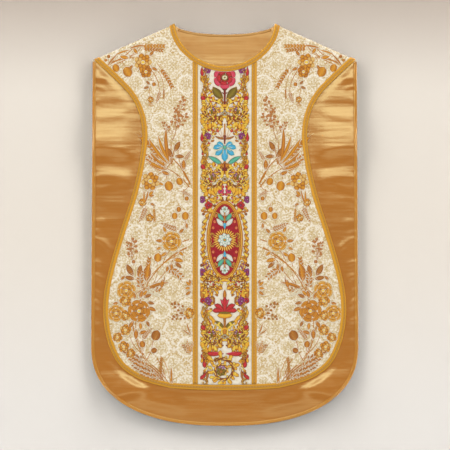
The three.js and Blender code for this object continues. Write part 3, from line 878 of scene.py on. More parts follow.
class Needlework:
    """Embroidered shapes gathered into one mesh on a surface."""

    def __init__(self, name: str, surface: Surface, ground: float, sides: Sequence[int] = (1, -1)) -> None:
        """Starts an empty piece.

        Args:
            name: The piece's name.
            surface: What the ground cloth follows.
            ground: Height of the ground above that surface, in millimetres.
            sides: 1 for shapes where they are drawn, -1 for their mirror images.
        """
        self.name = name
        self.surface = surface
        self.ground = ground
        self.sides = sides
        self.edging = 0.65
        self.spots: list[Array] = []
        self.faces: list[Array] = []
        self.paint: list[Array] = []
        self.pattern: list[Array] = []
        self.count = 0

    def ribbon(self, path: Array, halves: Array, silk: Thread, layer: float = 0) -> None:
        """Lays a domed strip of thread along a path.

        Args:
            path: Its middle line.
            halves: Half its width at each point.
            silk: Its thread.
            layer: How far up the pile of threads it lies.
        """
        run = np.gradient(path, axis=0)
        run /= np.maximum(np.linalg.norm(run, axis=1), 1e-9)[:, None]
        left = np.stack([-run[:, 1], run[:, 0]], axis=1) * halves[:, None]
        grid = np.stack([path + left, path, path - left], axis=1)
        dome = min(0.3, 0.1 + 0.05 * float(halves.max()))
        low = self.ground + 0.06 + 0.11 * layer + 0.00002 * self.count
        lift = low + np.stack([0 * halves, dome * halves / halves.max(), 0 * halves], axis=1)
        # Painted shade at both edges of the strip and a painted highlight along its middle.
        paint = np.array([linear(silk.dark), linear(silk.light), linear(silk.dark)])
        pattern = np.stack(
            [np.stack([-halves, 0 * halves, halves], axis=1), np.repeat(lengths(path)[:, None], 3, axis=1)],
            axis=-1
        )
        for side in self.sides:
            shown = grid if side > 0 else mirrored(grid)[:, ::-1]
            self.spots.append(np.concatenate([shown, lift[..., None]], axis=-1).reshape(-1, 3))
            self.faces.append(grid_faces(len(path), 3) + self.count)
            self.paint.append(np.tile(paint, (len(path), 1)))
            self.pattern.append(pattern.reshape(-1, 2))
            self.count += 3 * len(path)

    def build(self, material: Material, slot: str) -> Object:
        """Makes the object."""
        spots = np.concatenate(self.spots)
        sheet = Sheet(self.name)
        placed = self.surface.place(spots[:, 0], spots[:, 1], spots[:, 2])
        sheet.add(
            placed, np.concatenate(self.faces), np.concatenate(self.pattern), np.concatenate(self.paint)
        )
        return sheet.build(material, slot)

    def shape(self, profile: Profile, x: float, y: float, angle: float, length: float, width: float,
              silk: Thread, layer: float = 0, bend: float = 0.0, edge: Thread | None = None,
              points: int = 6) -> Array:
        """Lays one leaf, petal, bud or stem, and returns its middle line.

        Args:
            profile: Its outline.
            x: Where it starts, across.
            y: Where it starts, along.
            angle: Its direction at the start, in degrees.
            length: Its length.
            width: Its greatest width.
            silk: Its thread.
            layer: How far up the pile it lies.
            bend: How far it turns on its way, in degrees.
            edge: A thread that outlines it.
            points: How many points its middle line has.

        Returns:
            The middle line.
        """
        turns = np.radians(angle + bend * (np.linspace(0, 1, points)[:-1] + 0.5 / (points - 1)))
        steps = np.stack([np.cos(turns), np.sin(turns)], axis=1) * length / (points - 1)
        path = np.vstack([[0.0, 0.0], np.cumsum(steps, axis=0)]) + [x, y]
        halves = profile.widths(points) * width / 2
        if edge is not None:
            middle = path.mean(axis=0)
            rim = min(self.edging, 0.3 + 0.12 * width)
            grown = middle + (path - middle) * (1 + 1.7 * rim / length)
            self.ribbon(grown, halves + rim, edge, layer)
            layer += 1
        self.ribbon(path, np.maximum(halves, 0.05), silk, layer)
        return path

    # A pointed leaf, a petal in its usual dark edge, and a stem
    blade = partialmethod(shape, Profile.LEAF)
    petal = partialmethod(shape, Profile.DROP, edge=UMBER)
    twig = partialmethod(shape, Profile.STEM)


class Flora(Needlework):
    """Flowers, leaves and scrolls made of such shapes."""

    def disc(
        self, x: float, y: float, radius: float, silk: Thread, layer: float = 0, edge: Thread | None = None
    ) -> None:
        """A round dot."""
        self.shape(
            Profile.DISC, x, y - radius, 90, 2 * radius, 2 * radius, silk, layer, edge=edge, points=7
        )

    def stem(
        self, x0: float, y0: float, x1: float, y1: float, bend: float, width: float, silk: Thread,
        layer: float = 0
    ) -> Array:
        """A stem from one point to another, bowed sideways by a share of its length."""
        share = np.linspace(0, 1, 12)[:, None]
        start, end = np.array([x0, y0]), np.array([x1, y1])
        aside = np.array([y0 - y1, x1 - x0]) * bend
        path = start + (end - start) * share + aside * 4 * share * (1 - share)
        self.ribbon(path, Profile.STEM.widths(12) * width * 0.8, silk, layer)
        return path

    def leaf(self, x: float, y: float, angle: float, size: float, silk: Thread, bend: float = 12,
             slim: float = 0.42, edge: Thread = OUTLINE, vein: Thread = OUTLINE) -> None:
        """A veined leaf that starts at a point."""
        self.blade(x, y, angle, size, size * slim, silk, 1, bend, edge, 7)
        lit = LIGHTER.get(silk, silk)
        self.blade(x, y, angle + 9, size * 0.9, size * slim * 0.3, lit, 2.2, bend - 18)
        path = self.twig(x, y, angle, size * 0.86, 1.0, vein, 3, bend)
        for share in (1, 2, 3):
            for hand in (-1, 1):
                self.twig(*path[share], angle + hand * 42, size * slim * 0.42, 0.7, vein, 3, points=3)

    def rose(self, x: float, y: float, radius: float, angle: float, silk: Thread, edge: Thread,
             heart: Thread, outer: Thread | None = None) -> None:
        """A full rose of overlapping round petals, with its outer ones in another silk if given."""
        whorls = ((0.73, 6, 0.56, 0.28), (0.46, 5, 0.6, 0.24), (0.22, 3, 0.9, 0.17))
        for layer, (reach, count, span, depth) in enumerate(whorls):
            for k in range(count):
                middle = radians(angle + 26 * layer) + 2 * pi * k / count
                turns = middle + np.linspace(-span, span, 7)
                around = np.stack([np.cos(turns), np.sin(turns)], axis=1)
                path = np.array([x, y]) + radius * reach * around
                halves = Profile.DISC.widths(7) * radius * depth
                level = 4.4 * layer + 1.6 * (k % 2)
                if silk in GOLDS and layer == 0:
                    self.ribbon(path, halves + 2.4, edge, -1)
                inner = RUST if silk in GOLDS and layer else edge
                self.ribbon(path, halves + 0.8, inner, level)
                petal = outer if outer is not None and layer == 0 else silk
                self.ribbon(path, np.maximum(halves, 0.05), petal, level + 1)
                self.ribbon(
                    path + radius * depth * 0.62 * around, halves * 0.26, LIGHTER.get(silk, petal),
                    level + 1.9
                )
                self.ribbon(path - radius * depth * 0.4 * around, halves * 0.3 + 0.2, inner, level + 2.2)
        self.disc(x, y, radius * 0.13, heart, 14, edge)

    def blossom(
        self, x: float, y: float, radius: float, angle: float, silk: Thread, edge: Thread, heart: Thread,
        count: int = 6
    ) -> None:
        """An open flower of pointed petals, with a second ring of petals in a large one."""
        rings = ((1.0, 0.0), (0.66, 180 / count)) if radius > 14 else ((1.0, 0.0),)
        if radius > 20:
            for k in range(4 * count):
                self.blade(
                    x, y, angle + 90 * k / count + 6, radius * (1.22 - 0.14 * (k % 3)), 1.6, silk, 0, 10,
                    points=5
                )
        for ring, (share, turned) in enumerate(rings):
            for k in range(count):
                turn = angle + turned + 360 * k / count
                width = 2.2 * pi * radius * share / count * 0.66
                level = 4.2 * ring + 1.4 * (k % 2)
                inner = edge
                if silk in GOLDS:
                    inner = RUST if ring or len(rings) == 1 else edge
                    self.petal(x, y, turn, radius * share + 1.6, width + 3.6, edge, -1, 14, edge=None)
                petal = LIGHTER.get(silk, silk) if k % 3 == 0 else silk
                self.petal(x, y, turn, radius * share, width, petal, level, 14, edge=inner)
                self.blade(x, y, turn, radius * share * 0.8, width * 0.2, inner, level + 2.4, 14, points=5)
        self.disc(x, y, radius * 0.18, heart, 4.2 * len(rings) + 1, edge)

    def bud(self, x: float, y: float, angle: float, size: float, silk: Thread, edge: Thread) -> None:
        """A closed bud on a short stem with two small sepals."""
        self.twig(x, y, angle, size * 0.5, 1.6, AMBER)
        turn = radians(angle)
        bx, by = x + size * 0.45 * cos(turn), y + size * 0.45 * sin(turn)
        self.shape(Profile.DISC, bx, by, angle, size, size * 0.8, silk, 1, edge=edge, points=7)
        for hand in (-1, 0, 1):
            self.blade(bx, by, angle + 24 * hand, size * 0.84, size * 0.08, SHADE, 2, -36 * hand)
            self.blade(bx, by, angle + 14 * hand + 7, size * 0.8, size * 0.05, HONEY, 3, -24 * hand)

    def berries(self, x: float, y: float, angle: float, size: float, silk: Thread, count: int = 7) -> None:
        """A branching spray of berries."""
        path = self.twig(x, y, angle, size, 1.1, BERRY, 0, 14, points=count + 1)
        for k in range(count):
            hand = 1 if k % 2 else -1
            reach = size * (0.3 - 0.14 * k / count)
            twig = self.twig(
                *path[k + 1], angle + hand * (52 - 3 * k), reach, 0.8, BERRY, 0, -10 * hand, points=4
            )
            self.disc(*twig[-1], size * 0.075, silk, 1)
            self.disc(*twig[2] + [0.03 * size, 0.05 * size * hand], size * 0.034, silk, 1)
        self.disc(*path[-1], size * 0.075, silk, 1)

    def ear(self, x: float, y: float, angle: float, size: float, silk: Thread, bend: float = 10) -> None:
        """An ear of corn with paired grains and long awns."""
        path = self.twig(x, y, angle, size, 1.0, AMBER, 0, bend, points=9)
        for k in range(2, 9):
            for hand in (-1, 1):
                self.blade(
                    *path[k], angle + bend * k / 9 + hand * 27, size * 0.17, size * 0.07, silk, 1, points=4
                )
                self.twig(*path[k], angle + bend * k / 9 + hand * 14, size * 0.34, 0.5, CREAM, points=3)

    def plume(
        self, x: float, y: float, angle: float, size: float, silk: Thread, count: int = 7,
        spread: float = 60
    ) -> None:
        """A fan of thin curved blades."""
        for k in range(count):
            share = k / (count - 1) - 0.5
            reach = size * (1 - 0.5 * abs(share))
            blade = self.blade(
                x, y, angle + spread * share, reach, size * 0.03, silk, 0.1 * k, 34 * share, points=8
            )
            for m in (4, 5, 6):
                self.blade(
                    *blade[m], angle + spread * share + (30 if m % 2 else -30), size * 0.1, 0.9, silk,
                    0.1 * k, points=3
                )

    def spray(self, x: float, y: float, angle: float, size: float, silk: Thread, bend: float = 24) -> None:
        """Small loose leaves on both sides of a thin stem."""
        count = int(size / 6)
        path = self.twig(x, y, angle, size, 0.9, silk, 0, bend, points=count + 1)
        for k in range(1, count + 1):
            for hand in (-1, 1):
                turn = angle + bend * k / count + hand * (46 + 12 * sin(2.3 * k))
                away = np.array([cos(radians(turn)), sin(radians(turn))]) * 2.2
                self.blade(*(path[k] + away), turn, 11.5 - 0.4 * k, 5.0, silk, 1, 16 * hand, IVORY, 5)

    def frond(
        self, x: float, y: float, angle: float, size: float, silk: Thread, count: int = 6, bend: float = 20
    ) -> None:
        """Small leaves in pairs along a stem."""
        path = self.twig(x, y, angle, size, 1.2, AMBER, 0, bend, points=count + 2)
        for k in range(1, count + 1):
            for hand in (-1, 1):
                turn, reach = angle + bend * k / count + hand * 48, size * (0.3 - 0.02 * k)
                self.blade(*path[k], turn, reach, size * 0.085, silk, 1, -14 * hand, IVORY, 5)
        self.blade(*path[-1], angle + bend, size * 0.2, size * 0.08, silk, 1, edge=IVORY, points=5)

    def scroll(self, x: float, y: float, radius: float, start: float, turns: float, hand: int) -> None:
        """A leafy scroll that winds in to its middle.

        Args:
            x: Its middle, across.
            y: Its middle, along.
            radius: Its outer radius.
            start: Direction of its outer end from the middle, in degrees.
            turns: How many times it winds round.
            hand: 1 to wind anticlockwise, -1 clockwise.
        """
        count = 14 + int(10 * turns)
        share = np.linspace(0, 1, count)
        around = radians(start) + hand * 2 * pi * turns * share
        reach = radius * (1 - 0.72 * share)
        path = np.array([x, y]) + reach[:, None] * np.stack([np.cos(around), np.sin(around)], axis=1)
        halves = radius * (0.1 - 0.04 * share)
        self.ribbon(path, halves + 0.9, UMBER, 7)
        for k in range(count - 1):
            along = degrees(around[k]) + 90 * hand
            silk = (YELLOW, GILT, HONEY)[k % 3]
            aside = 26 if k % 2 else -22
            self.blade(
                *path[k], along + aside, radius * (0.42 - 0.16 * share[k]), radius * 0.12, silk,
                8 + 0.4 * (k % 3), -aside, points=5
            )
        for k in range(0, count - 3, 2):
            out = degrees(around[k])
            size = radius * (0.7 - 0.4 * share[k])
            layer = 4.5 + 0.5 * (k % 4) if k % 4 else 0.5
            self.petal(*path[k], out - hand * 40, size, size * 0.46, GILT, layer, 60 * hand)
            self.blade(
                *path[k], out - hand * 36, size * 0.75, size * 0.18, YELLOW, layer + 2.2, 58 * hand,
                points=5
            )
            if k % 4 == 2 and k < count * 0.6:
                self.petal(
                    *path[k], out + 180 + hand * 62, size * 0.55, size * 0.24, YELLOW, layer, -70 * hand
                )


# The cloth pieces


def area_of(grid: Array) -> float:
    """The area of a grid of pattern points, in square metres."""
    one, other = grid[1:, 1:] - grid[:-1, :-1], grid[1:, :-1] - grid[:-1, 1:]
    return float(np.abs(one[..., 0] * other[..., 1] - one[..., 1] * other[..., 0]).sum() / 2) * MM * MM


def crowned(columns: int, wall: float, rise: float) -> Array:
    """The upper side of a trim across its width, with rounded edges and a low crown."""
    share = np.linspace(0, 1, columns + 1)
    edge = smooth(np.minimum(share, 1 - share), 0, 0.15)
    return wall * (0.6 + 0.4 * edge) + rise * np.sin(pi * share)


@dataclass(frozen=True)
class Cloth:
    """A piece of cloth that stands for a CAD node."""

    node: str
    slot: str
    rests_on: tuple[str, ...] = ()

    def sewn(self, name: str, surface: Surface, height: float, lines: Iterable[Array], pitch: float,
             sides: Sequence[int] = (1, -1)) -> Object:
        """Sews running stitches along lines on the piece.

        Args:
            name: The stitches' name.
            surface: What the piece follows.
            height: How far above that surface the stitches lie.
            lines: The lines that they run along.
            pitch: How far apart they start.
            sides: 1 for stitches where the lines are, -1 for their mirror images.

        Returns:
            The stitches.
        """
        stitches = Stitching(name, surface, height, sides)
        for line in lines:
            stitches.row(line, pitch)
        return stitches.build(ThreadWork(f"{name}_thread").material(), self.slot)

    def lay(self, grid: Array, surface: Surface, lower: Array | float, upper: Array | float,
            material: Material, strip: tuple[float, float] | None = None,
            extras: Iterable[Object] = ()) -> Object:
        """Args:
            grid: The points of its flat pattern.
            surface: What it follows.
            lower: Height of its underside above the surface.
            upper: Height of its upper side.
            material: Its finish.
            strip: The cut's width and length in millimetres, where it is a strip laid along a curve.
            extras: Needlework on it.

        Returns:
            The cloth.
        """
        sheet = Sheet(f"{self.node}_cloth")
        cloth_wall(sheet, grid, surface, lower, upper)
        made = sheet.build(material, self.slot, (self.node,))
        area = area_of(grid) if strip is None else None
        list(self.rests_on)
        list(extras)
        return made


def back_grid(shares: Array, rows: int, side: float, shoulder: float, neck: float) -> Array:
    """A grid over the back panel, moved in from its edges.

    Args:
        shares: Where its columns stand between the two sides, from -1 to 1.
        rows: How many rows it has.
        side: How far it is moved in from the sides and hem.
        shoulder: How far from the shoulder lines.
        neck: How far from the neck's edge.

    Returns:
        Rows of points from the hem to the neck.
    """
    x = (CUT.tip - side) * shares
    neck_line = np.where(np.abs(x) < CUT.neck, CUT.back_neck_y(x) - neck, np.inf)
    top = np.stack([x, np.minimum(CUT.shoulder_y(x) - shoulder / cos(CUT.slope), neck_line)], axis=1)
    right = moved(CUT.back_side(), side)
    right = evenly(right[right[:, 0] >= CUT.hem_corner], rows)
    hem_x = right[0, 0] * shares
    hem = np.stack([hem_x, CUT.back_hem_y(hem_x) + side], axis=1)
    right[0], right[-1] = hem[-1], top[-1]
    return filled_grid(hem, top, right)


@dataclass(frozen=True)
class BackPanel(Cloth):
    """The back panel of brocade, face down."""

    wall: float = 2.0

    def build(self) -> Object:
        """Lays the panel on the surface under everything else."""
        inner = 1 - np.array([0, 0.004, 0.012, 0.03])
        shares = np.concatenate([-inner, np.linspace(-0.94, 0.94, 61), inner[::-1]])
        return self.lay(
            back_grid(shares, 90, 0, 0, 0), LiningSurface(0.0), 0, self.wall,
            Brocade("back_brocade").material()
        )


@dataclass(frozen=True)
class Lining(Cloth):
    """The satin lining with the creases that show round the front and through the neck."""

    wall: float = 1.1
    inset: tuple[float, float, float] = (0.4, 3.4, 0.6)
    margin: int = 44
    middle: int = 58
    rows: int = 235
    pucker: float = 0.22
    pucker_length: float = 21.0
    pucker_from: float = 300.0
    folds: tuple[Ridge, ...] = (
        Ridge(320, 446, 150, 74, 4.4, 0, 0.5),
        Ridge(340, 428, 40, 5, 1.1, 22, 0.8, -4),
        Ridge(330, 402, 60, 7, 1.4, -10, 1.6, 4),
        Ridge(346, 379, 34, 5, 0.9, 10, 0.9, -3),
        Ridge(330, 349, 96, 15, 1.4, -4, 1.1, -6),
        Ridge(325, 216, 120, 22, 8.2, 4, 3.7, -9),
        Ridge(312, 296, 96, 10, 0.4, -12, 1.2, 5),
        Ridge(318, 300, 80, 12, 1.0, -4, 1.4),
        Ridge(322, 180, 90, 15, 1.6, -6, 1.3, -6),
        Ridge(300, 212, 60, 4, 0.5, 2),
        Ridge(308, 133, 104, 20, 3.2, 7, 1.2, -7),
        Ridge(334, 102, 84, 10, 1.2, -8, 1.0, 5),
        Ridge(232, 196, 22, 9, 1.0, 80),
        Ridge(330, -52, 62, 8, 1.6, 40, 1.2, -6),
        Ridge(350, 12, 40, 8.0, 0.8, 12),
        Ridge(342, -146, 58, 8.5, 1.5, 34, 1.3, -6),
        Ridge(352, -104, 30, 6.0, 1.1, 10),
        Ridge(354, -182, 28, 5.5, 1.2, 46),
        Ridge(346, -222, 44, 8, 2.2, 40, 1.1),
        Ridge(352, -262, 26, 5, 1.4, 24),
        Ridge(356, -306, 22, 4.5, 1.2, 16),
        Ridge(352, -20, 30, 6, 0.5, 20),
        Ridge(300, 60, 60, 16, 0.5, 8),
        Ridge(320, 10, 60, 14, 0.4, -10),
        Ridge(344, -356, 40, 8, 0.6, 20, 1.2),
        Ridge(336, -374, 60, 8, 0.5, 26),
        Ridge(306, -470, 160, 16, 8.8, -16, 3.6, -4),
        Ridge(330, -414, 60, 16, 1.0, 14, 1.0, 5),
        Ridge(176, -488, 120, 16, 3.0, 12, 1.4),
        Ridge(0, 532, 300, 42, 1.1, 0),
        Ridge(60, 480, 60, 9, 0.6, 88),
        Ridge(18, 486, 60, 12, 0.45, 92),
        Ridge(100, 505, 44, 6, 0.8, 118),
    )

    def surface(self) -> LiningSurface:
        """What the lining and its turned edge follow."""
        return LiningSurface(LINING_SEAT, self.folds)

    def build(self) -> Object:
        """Lays the lining on the back."""
        border = 1 - np.linspace(0, 0.44, self.margin + 1)
        shares = np.concatenate([-border, np.linspace(-0.56, 0.56, self.middle + 1)[1:-1], border[::-1]])
        surface = self.surface()
        grid = back_grid(shares, self.rows, *self.inset)
        raised = surface.creased(grid[..., 0], grid[..., 1])
        near_edge = smooth(22 - inside_by(CUT.back_outline(), grid[..., 0], grid[..., 1]), 0, 10)
        pucker = self.pucker * near_edge * np.sin(grid[..., 1] * (2 * pi / self.pucker_length))
        raised = np.maximum(raised + pucker * (np.abs(grid[..., 0]) > self.pucker_from), 0)
        return self.lay(grid, surface, raised, raised + self.wall, Satin("lining_satin").material())


@dataclass(frozen=True)
class EdgeBinding(Cloth):
    """The turned and topstitched satin edge of the sides and the hem."""

    width: float = 10.0
    wall: float = 1.0
    rise: float = 0.5
    start: float = 6.0
    lift: float = 1.4
    seam: float = 7.2
    pitch: float = 3.6

    def path(self) -> Array:
        """Its outer edge from the right shoulder to the middle of the hem."""
        edge = moved(CUT.back_side(), 0.4)[::-1]
        count = int((lengths(edge)[-1] - self.start) / 4.2)
        return along(edge, np.linspace(self.start, lengths(edge)[-1], count))

    def build(self) -> Object:
        """Lays the binding along the lining's edge, puckered a little by its stitches."""
        outer = self.path()
        half = both_halves(band(outer, moved(outer, -(self.width - 0.4)), 6))
        run = lengths(half[:, 0])[:, None]
        pucker = 1 + 0.24 * np.sin(run * (2 * pi / 23)) * np.sin(run * (2 * pi / 151) + 1)
        lining = Lining("back_lining", "lining_satin").surface()
        raised = lining.creased(half[..., 0], half[..., 1])
        thinned = 1 - 0.3 * np.linspace(0, 1, 7) ** 3
        upper = raised + self.lift + crowned(6, self.wall, self.rise)[None] * pucker * thinned
        seam = [moved(outer, -self.seam)]
        sewing = self.sewn(
            "edge_topstitch", Creased(lining), self.lift + self.wall + 0.25, seam, self.pitch
        )
        material = Satin("binding_satin", "C27A16", "B46E0E").material()
        strip = (self.width, lengths(half[:, 0])[-1])
        return self.lay(
            half, LiningSurface(LINING_SEAT), raised + self.lift, upper, material, strip, [sewing]
        )


@dataclass(frozen=True)
class NeckBinding(Cloth):
    """The turned and topstitched satin edge along the back of the neck."""

    width: float = 7.0
    cut_width: float = 10.0
    wall: float = 1.0
    rise: float = 0.5
    reach: float = 126.0
    lift: float = 1.4
    seam: float = 5.4
    pitch: float = 3.6

    def build(self) -> Object:
        """Lays the binding along the neck."""
        x = np.linspace(self.reach, 0, 32)
        edge = np.stack([x, CUT.back_neck_y(x) - 0.6], axis=1)
        half = both_halves(band(edge, moved(edge, self.width), 5))
        height = self.lift + self.wall + 0.2
        sewing = self.sewn(
            "neck_topstitch", LiningSurface(LINING_SEAT), height, [moved(edge, self.seam)], self.pitch
        )
        material = Satin("neck_satin", "AC660A", "9E5A06").material()
        upper = self.lift + crowned(5, self.wall, self.rise)[None] + 0 * half[..., 0]
        strip = (self.cut_width, lengths(half[:, 0])[-1])
        return self.lay(half, LiningSurface(LINING_SEAT), self.lift, upper, material, strip, [sewing])


@dataclass(frozen=True)
class FrontPanel(Cloth):
    """The front panel of brocade, rolled over at the shoulders."""

    rows: float = 8.5
    shoulder_columns: int = 16
    scoop_columns: int = 18
    corner_share: float = 0.74
    level_below: float = 150.0

    def top_row(self, depth: float) -> Array:
        """Its top edge moved in by a depth: two shoulder lines with the neck's scoop between them."""
        side = evenly(CUT.side()[::-1], 4000)
        side_x = side[np.argmax(CUT.below(side[:, 0], side[:, 1]) >= depth - 1e-9), 0]
        scoop_x = CUT.neck + depth / 2
        scoop_top = CUT.shoulder_y(scoop_x) - depth / cos(CUT.slope)
        scoop_depth = scoop_top - (CUT.top - CUT.front_neck_depth - depth / 2)
        x = np.linspace(side_x, scoop_x, self.shoulder_columns + 1)
        shoulder = np.stack([x, CUT.shoulder_y(x) - depth / cos(CUT.slope)], axis=1)
        share = np.cos(np.linspace(0, pi / 2, self.scoop_columns + 1))[1:]
        share[-1] = 0
        scoop = np.stack(
            [scoop_x * share, scoop_top - scoop_depth * CUT.round(share, CUT.front_neck_power)], axis=1
        )
        half = np.vstack([shoulder, scoop])
        return np.vstack([mirrored(half), half[-2::-1]])

    def grid(self) -> Array:
        """Rows of pattern points from the hem to the shoulders, level low down and like the top above."""
        rolled = np.array([self.top_row(depth) for depth in np.linspace(FRONT.roll_length, 0, ROLL_ROWS)])
        top = rolled[0]
        side = from_shoulder(CUT.side()[::-1], self.rows)[ROLL_ROWS - 1 :][::-1]
        side[-1] = top[-1]
        outside = np.linspace(1, self.corner_share, self.shoulder_columns + 1)
        half = np.concatenate([outside, np.linspace(self.corner_share, 0, self.scoop_columns + 1)[1:]])
        level = np.concatenate([-half, half[-2::-1]])
        side_x, side_y = side[:, :1], side[:, 1:]
        shaped = np.clip((side_y - self.level_below) / (side_y[-1] - self.level_below), 0, 1) ** 2
        hem_left = 1 - smooth(side_y, side_y[0, 0], side_y[0, 0] + 400)
        x = side_x * (level + (top[:, 0] / top[-1, 0] - level) * shaped)
        dip = CUT.front_hem_y(level * CUT.hem_corner) - CUT.front_side[0][1]
        y = side_y + hem_left * dip + shaped * (top[:, 1] - top[-1, 1])
        return np.concatenate([np.stack([x, y], axis=-1), rolled[1:]])

    def build(self, extras: Iterable[Object]) -> Object:
        """Lays the panel on the lining."""
        return self.lay(
            self.grid(), FRONT, 0, FRONT.wall, Brocade("front_brocade").material(), None, extras
        )


ON_FRONT = FRONT.wall + 0.35
BRAID_STITCH = 0.9
BRAID_PITCH = 5.2
SEAM_INSET = 1.0


@dataclass(frozen=True)
class EdgeBraid(Cloth):
    """A galloon laid along an edge of the front, from shoulder to shoulder."""

    width: float = 14.0
    wall: float = 1.3
    rise: float = 0.4
    step: float = 6.0

    def build(self, edge: Array, inwards: float) -> Object:
        """Lays the braid.

        Args:
            edge: The edge from the right shoulder to the middle.
            inwards: 1 if the panel lies to the left of that line, -1 if to the right.
        """
        outer = from_shoulder(edge, self.step)
        inner = from_shoulder(moved(edge, inwards * self.width), self.step, len(outer))
        half = both_halves(band(outer, inner, 8))
        upper = ON_FRONT + crowned(8, self.wall, self.rise)[None] + 0 * half[..., 0]
        seams = [moved(edge, inwards * off)[6:] for off in (SEAM_INSET, self.width - SEAM_INSET)]
        sewing = self.sewn(f"{self.node}_stitches", FRONT, ON_FRONT + BRAID_STITCH, seams, BRAID_PITCH)
        strip = (self.width, lengths(half[:, 4])[-1])
        return self.lay(
            half, FRONT, ON_FRONT, upper, Galloon(f"{self.node}_galloon").material(), strip, [sewing]
        )


@dataclass(frozen=True)
class Strip(Cloth):
    """An upright strip on the front, between the neck's braid and the border's."""

    inner: float = -73.7
    outer: float = 73.7
    columns: int = 24
    rows: int = 130

    def grid(self) -> Array:
        """Rows of pattern points from the hem to the neck."""
        gap = CUT.braid + 0.7
        neck = moved(CUT.scoop(), gap)[::-1]
        x = np.linspace(self.inner, self.outer, self.columns + 1)
        top = np.interp(np.abs(x), neck[:, 0], neck[:, 1])
        bottom = CUT.front_hem_y(x) + gap
        share = np.linspace(0, 1, self.rows + 1)[:, None]
        return np.stack(
            [np.broadcast_to(x, (self.rows + 1, len(x))), bottom + (top - bottom) * share], axis=-1
        )


@dataclass(frozen=True)
class ColumnCloth(Strip):
    """The ivory ground of the embroidered column."""

    wall: float = 0.9

    def build(self, extras: Iterable[Object]) -> Object:
        """Lays the column's ground cloth."""
        material = PlainWeave("column_silk", "F8F2E2", "E8D9B4").material()
        return self.lay(self.grid(), FRONT, ON_FRONT, ON_FRONT + self.wall, material, None, extras)


@dataclass(frozen=True)
class ColumnBraid(Strip):
    """The galloon along one side of the column."""

    wall: float = 1.3
    rise: float = 0.4
    columns: int = 8

    def build(self) -> Object:
        """Lays the braid."""
        grid = self.grid()
        upper = ON_FRONT + crowned(self.columns, self.wall, self.rise)[None] + 0 * grid[..., 0]
        seams = [grid[1:-1, 0] + [SEAM_INSET, 0], grid[1:-1, -1] - [SEAM_INSET, 0]]
        sewing = self.sewn(
            f"{self.node}_stitches", FRONT, ON_FRONT + BRAID_STITCH, seams, BRAID_PITCH, (1,)
        )
        strip = (CUT.braid, lengths(grid[:, 4])[-1])
        return self.lay(
            grid, FRONT, ON_FRONT, upper, Galloon(f"{self.node}_galloon").material(), strip, [sewing]
        )


class Stitching(Needlework):
    """Rows of running stitches."""

    def row(self, line: Array, pitch: float, length: float = 2.6, width: float = 0.6) -> None:
        """Sews along a line, and along its mirror image where the piece has both sides."""
        for start in np.arange(pitch, lengths(line)[-1] - pitch, pitch):
            self.ribbon(
                along(line, np.array([start, start + length / 2, start + length])),
                np.array([0.25, 0.5, 0.25]) * width, SEWING
            )


# The front's gold flowers


@dataclass(frozen=True)
class Sprig:
    """One motif: where it starts, its direction above the outward horizontal, its size and thread."""

    x: float
    y: float
    angle: float
    size: float
    silk: Thread = GOLD
    growth: ClassVar[Callable[..., None]] = Flora.frond

    def embroider(self, work: Flora) -> None:
        """Adds it to the work."""
        type(self).growth(work, self.x, self.y, self.angle, self.size, self.silk)


class Rose(Sprig):
    """A full rose."""

    def embroider(self, work: Flora) -> None:
        """Adds it to the work."""
        work.rose(self.x, self.y, self.size, self.angle, self.silk, IVORY, YELLOW)


class Blossom(Sprig):
    """An open flower, with more petals in a large one."""

    def embroider(self, work: Flora) -> None:
        """Adds it to the work."""
        work.blossom(
            self.x, self.y, self.size, self.angle, self.silk, IVORY, YELLOW, 5 if self.size < 20 else 7
        )


class Bud(Sprig):
    """A closed bud."""

    def embroider(self, work: Flora) -> None:
        """Adds it to the work."""
        work.bud(self.x, self.y, self.angle, self.size, self.silk, IVORY)


class Leaf(Sprig):
    """A veined leaf."""

    def embroider(self, work: Flora) -> None:
        """Adds it to the work."""
        work.leaf(self.x, self.y, self.angle, self.size, self.silk, edge=IVORY, vein=IVORY)


class Berries(Sprig):
    """A spray of berries."""

    growth = Flora.berries


class Ear(Sprig):
    """An ear of corn."""

    growth = Flora.ear


class Plume(Sprig):
    """A fan of thin blades."""

    growth = Flora.plume


class Frond(Sprig):
    """Pairs of small leaves."""

    growth = Flora.frond


class Spray(Sprig):
    """Small loose leaves on a stem."""

    growth = Flora.spray


class Blade(Sprig):
    """A long slim leaf."""

    def embroider(self, work: Flora) -> None:
        """Adds it to the work."""
        work.blade(self.x, self.y, self.angle, self.size, self.size * 0.11, self.silk, 1, 22, IVORY, 8)


class Dot(Sprig):
    """A round dot."""

    def embroider(self, work: Flora) -> None:
        """Adds it to the work."""
        work.disc(self.x, self.y, self.size, self.silk, 1)


@dataclass(frozen=True)
class Stalk:
    """A stem from one point to another, with its bow as a share of its length."""

    x0: float
    y0: float
    x1: float
    y1: float
    bend: float
    width: float = 1.8
    silk: Thread = AMBER


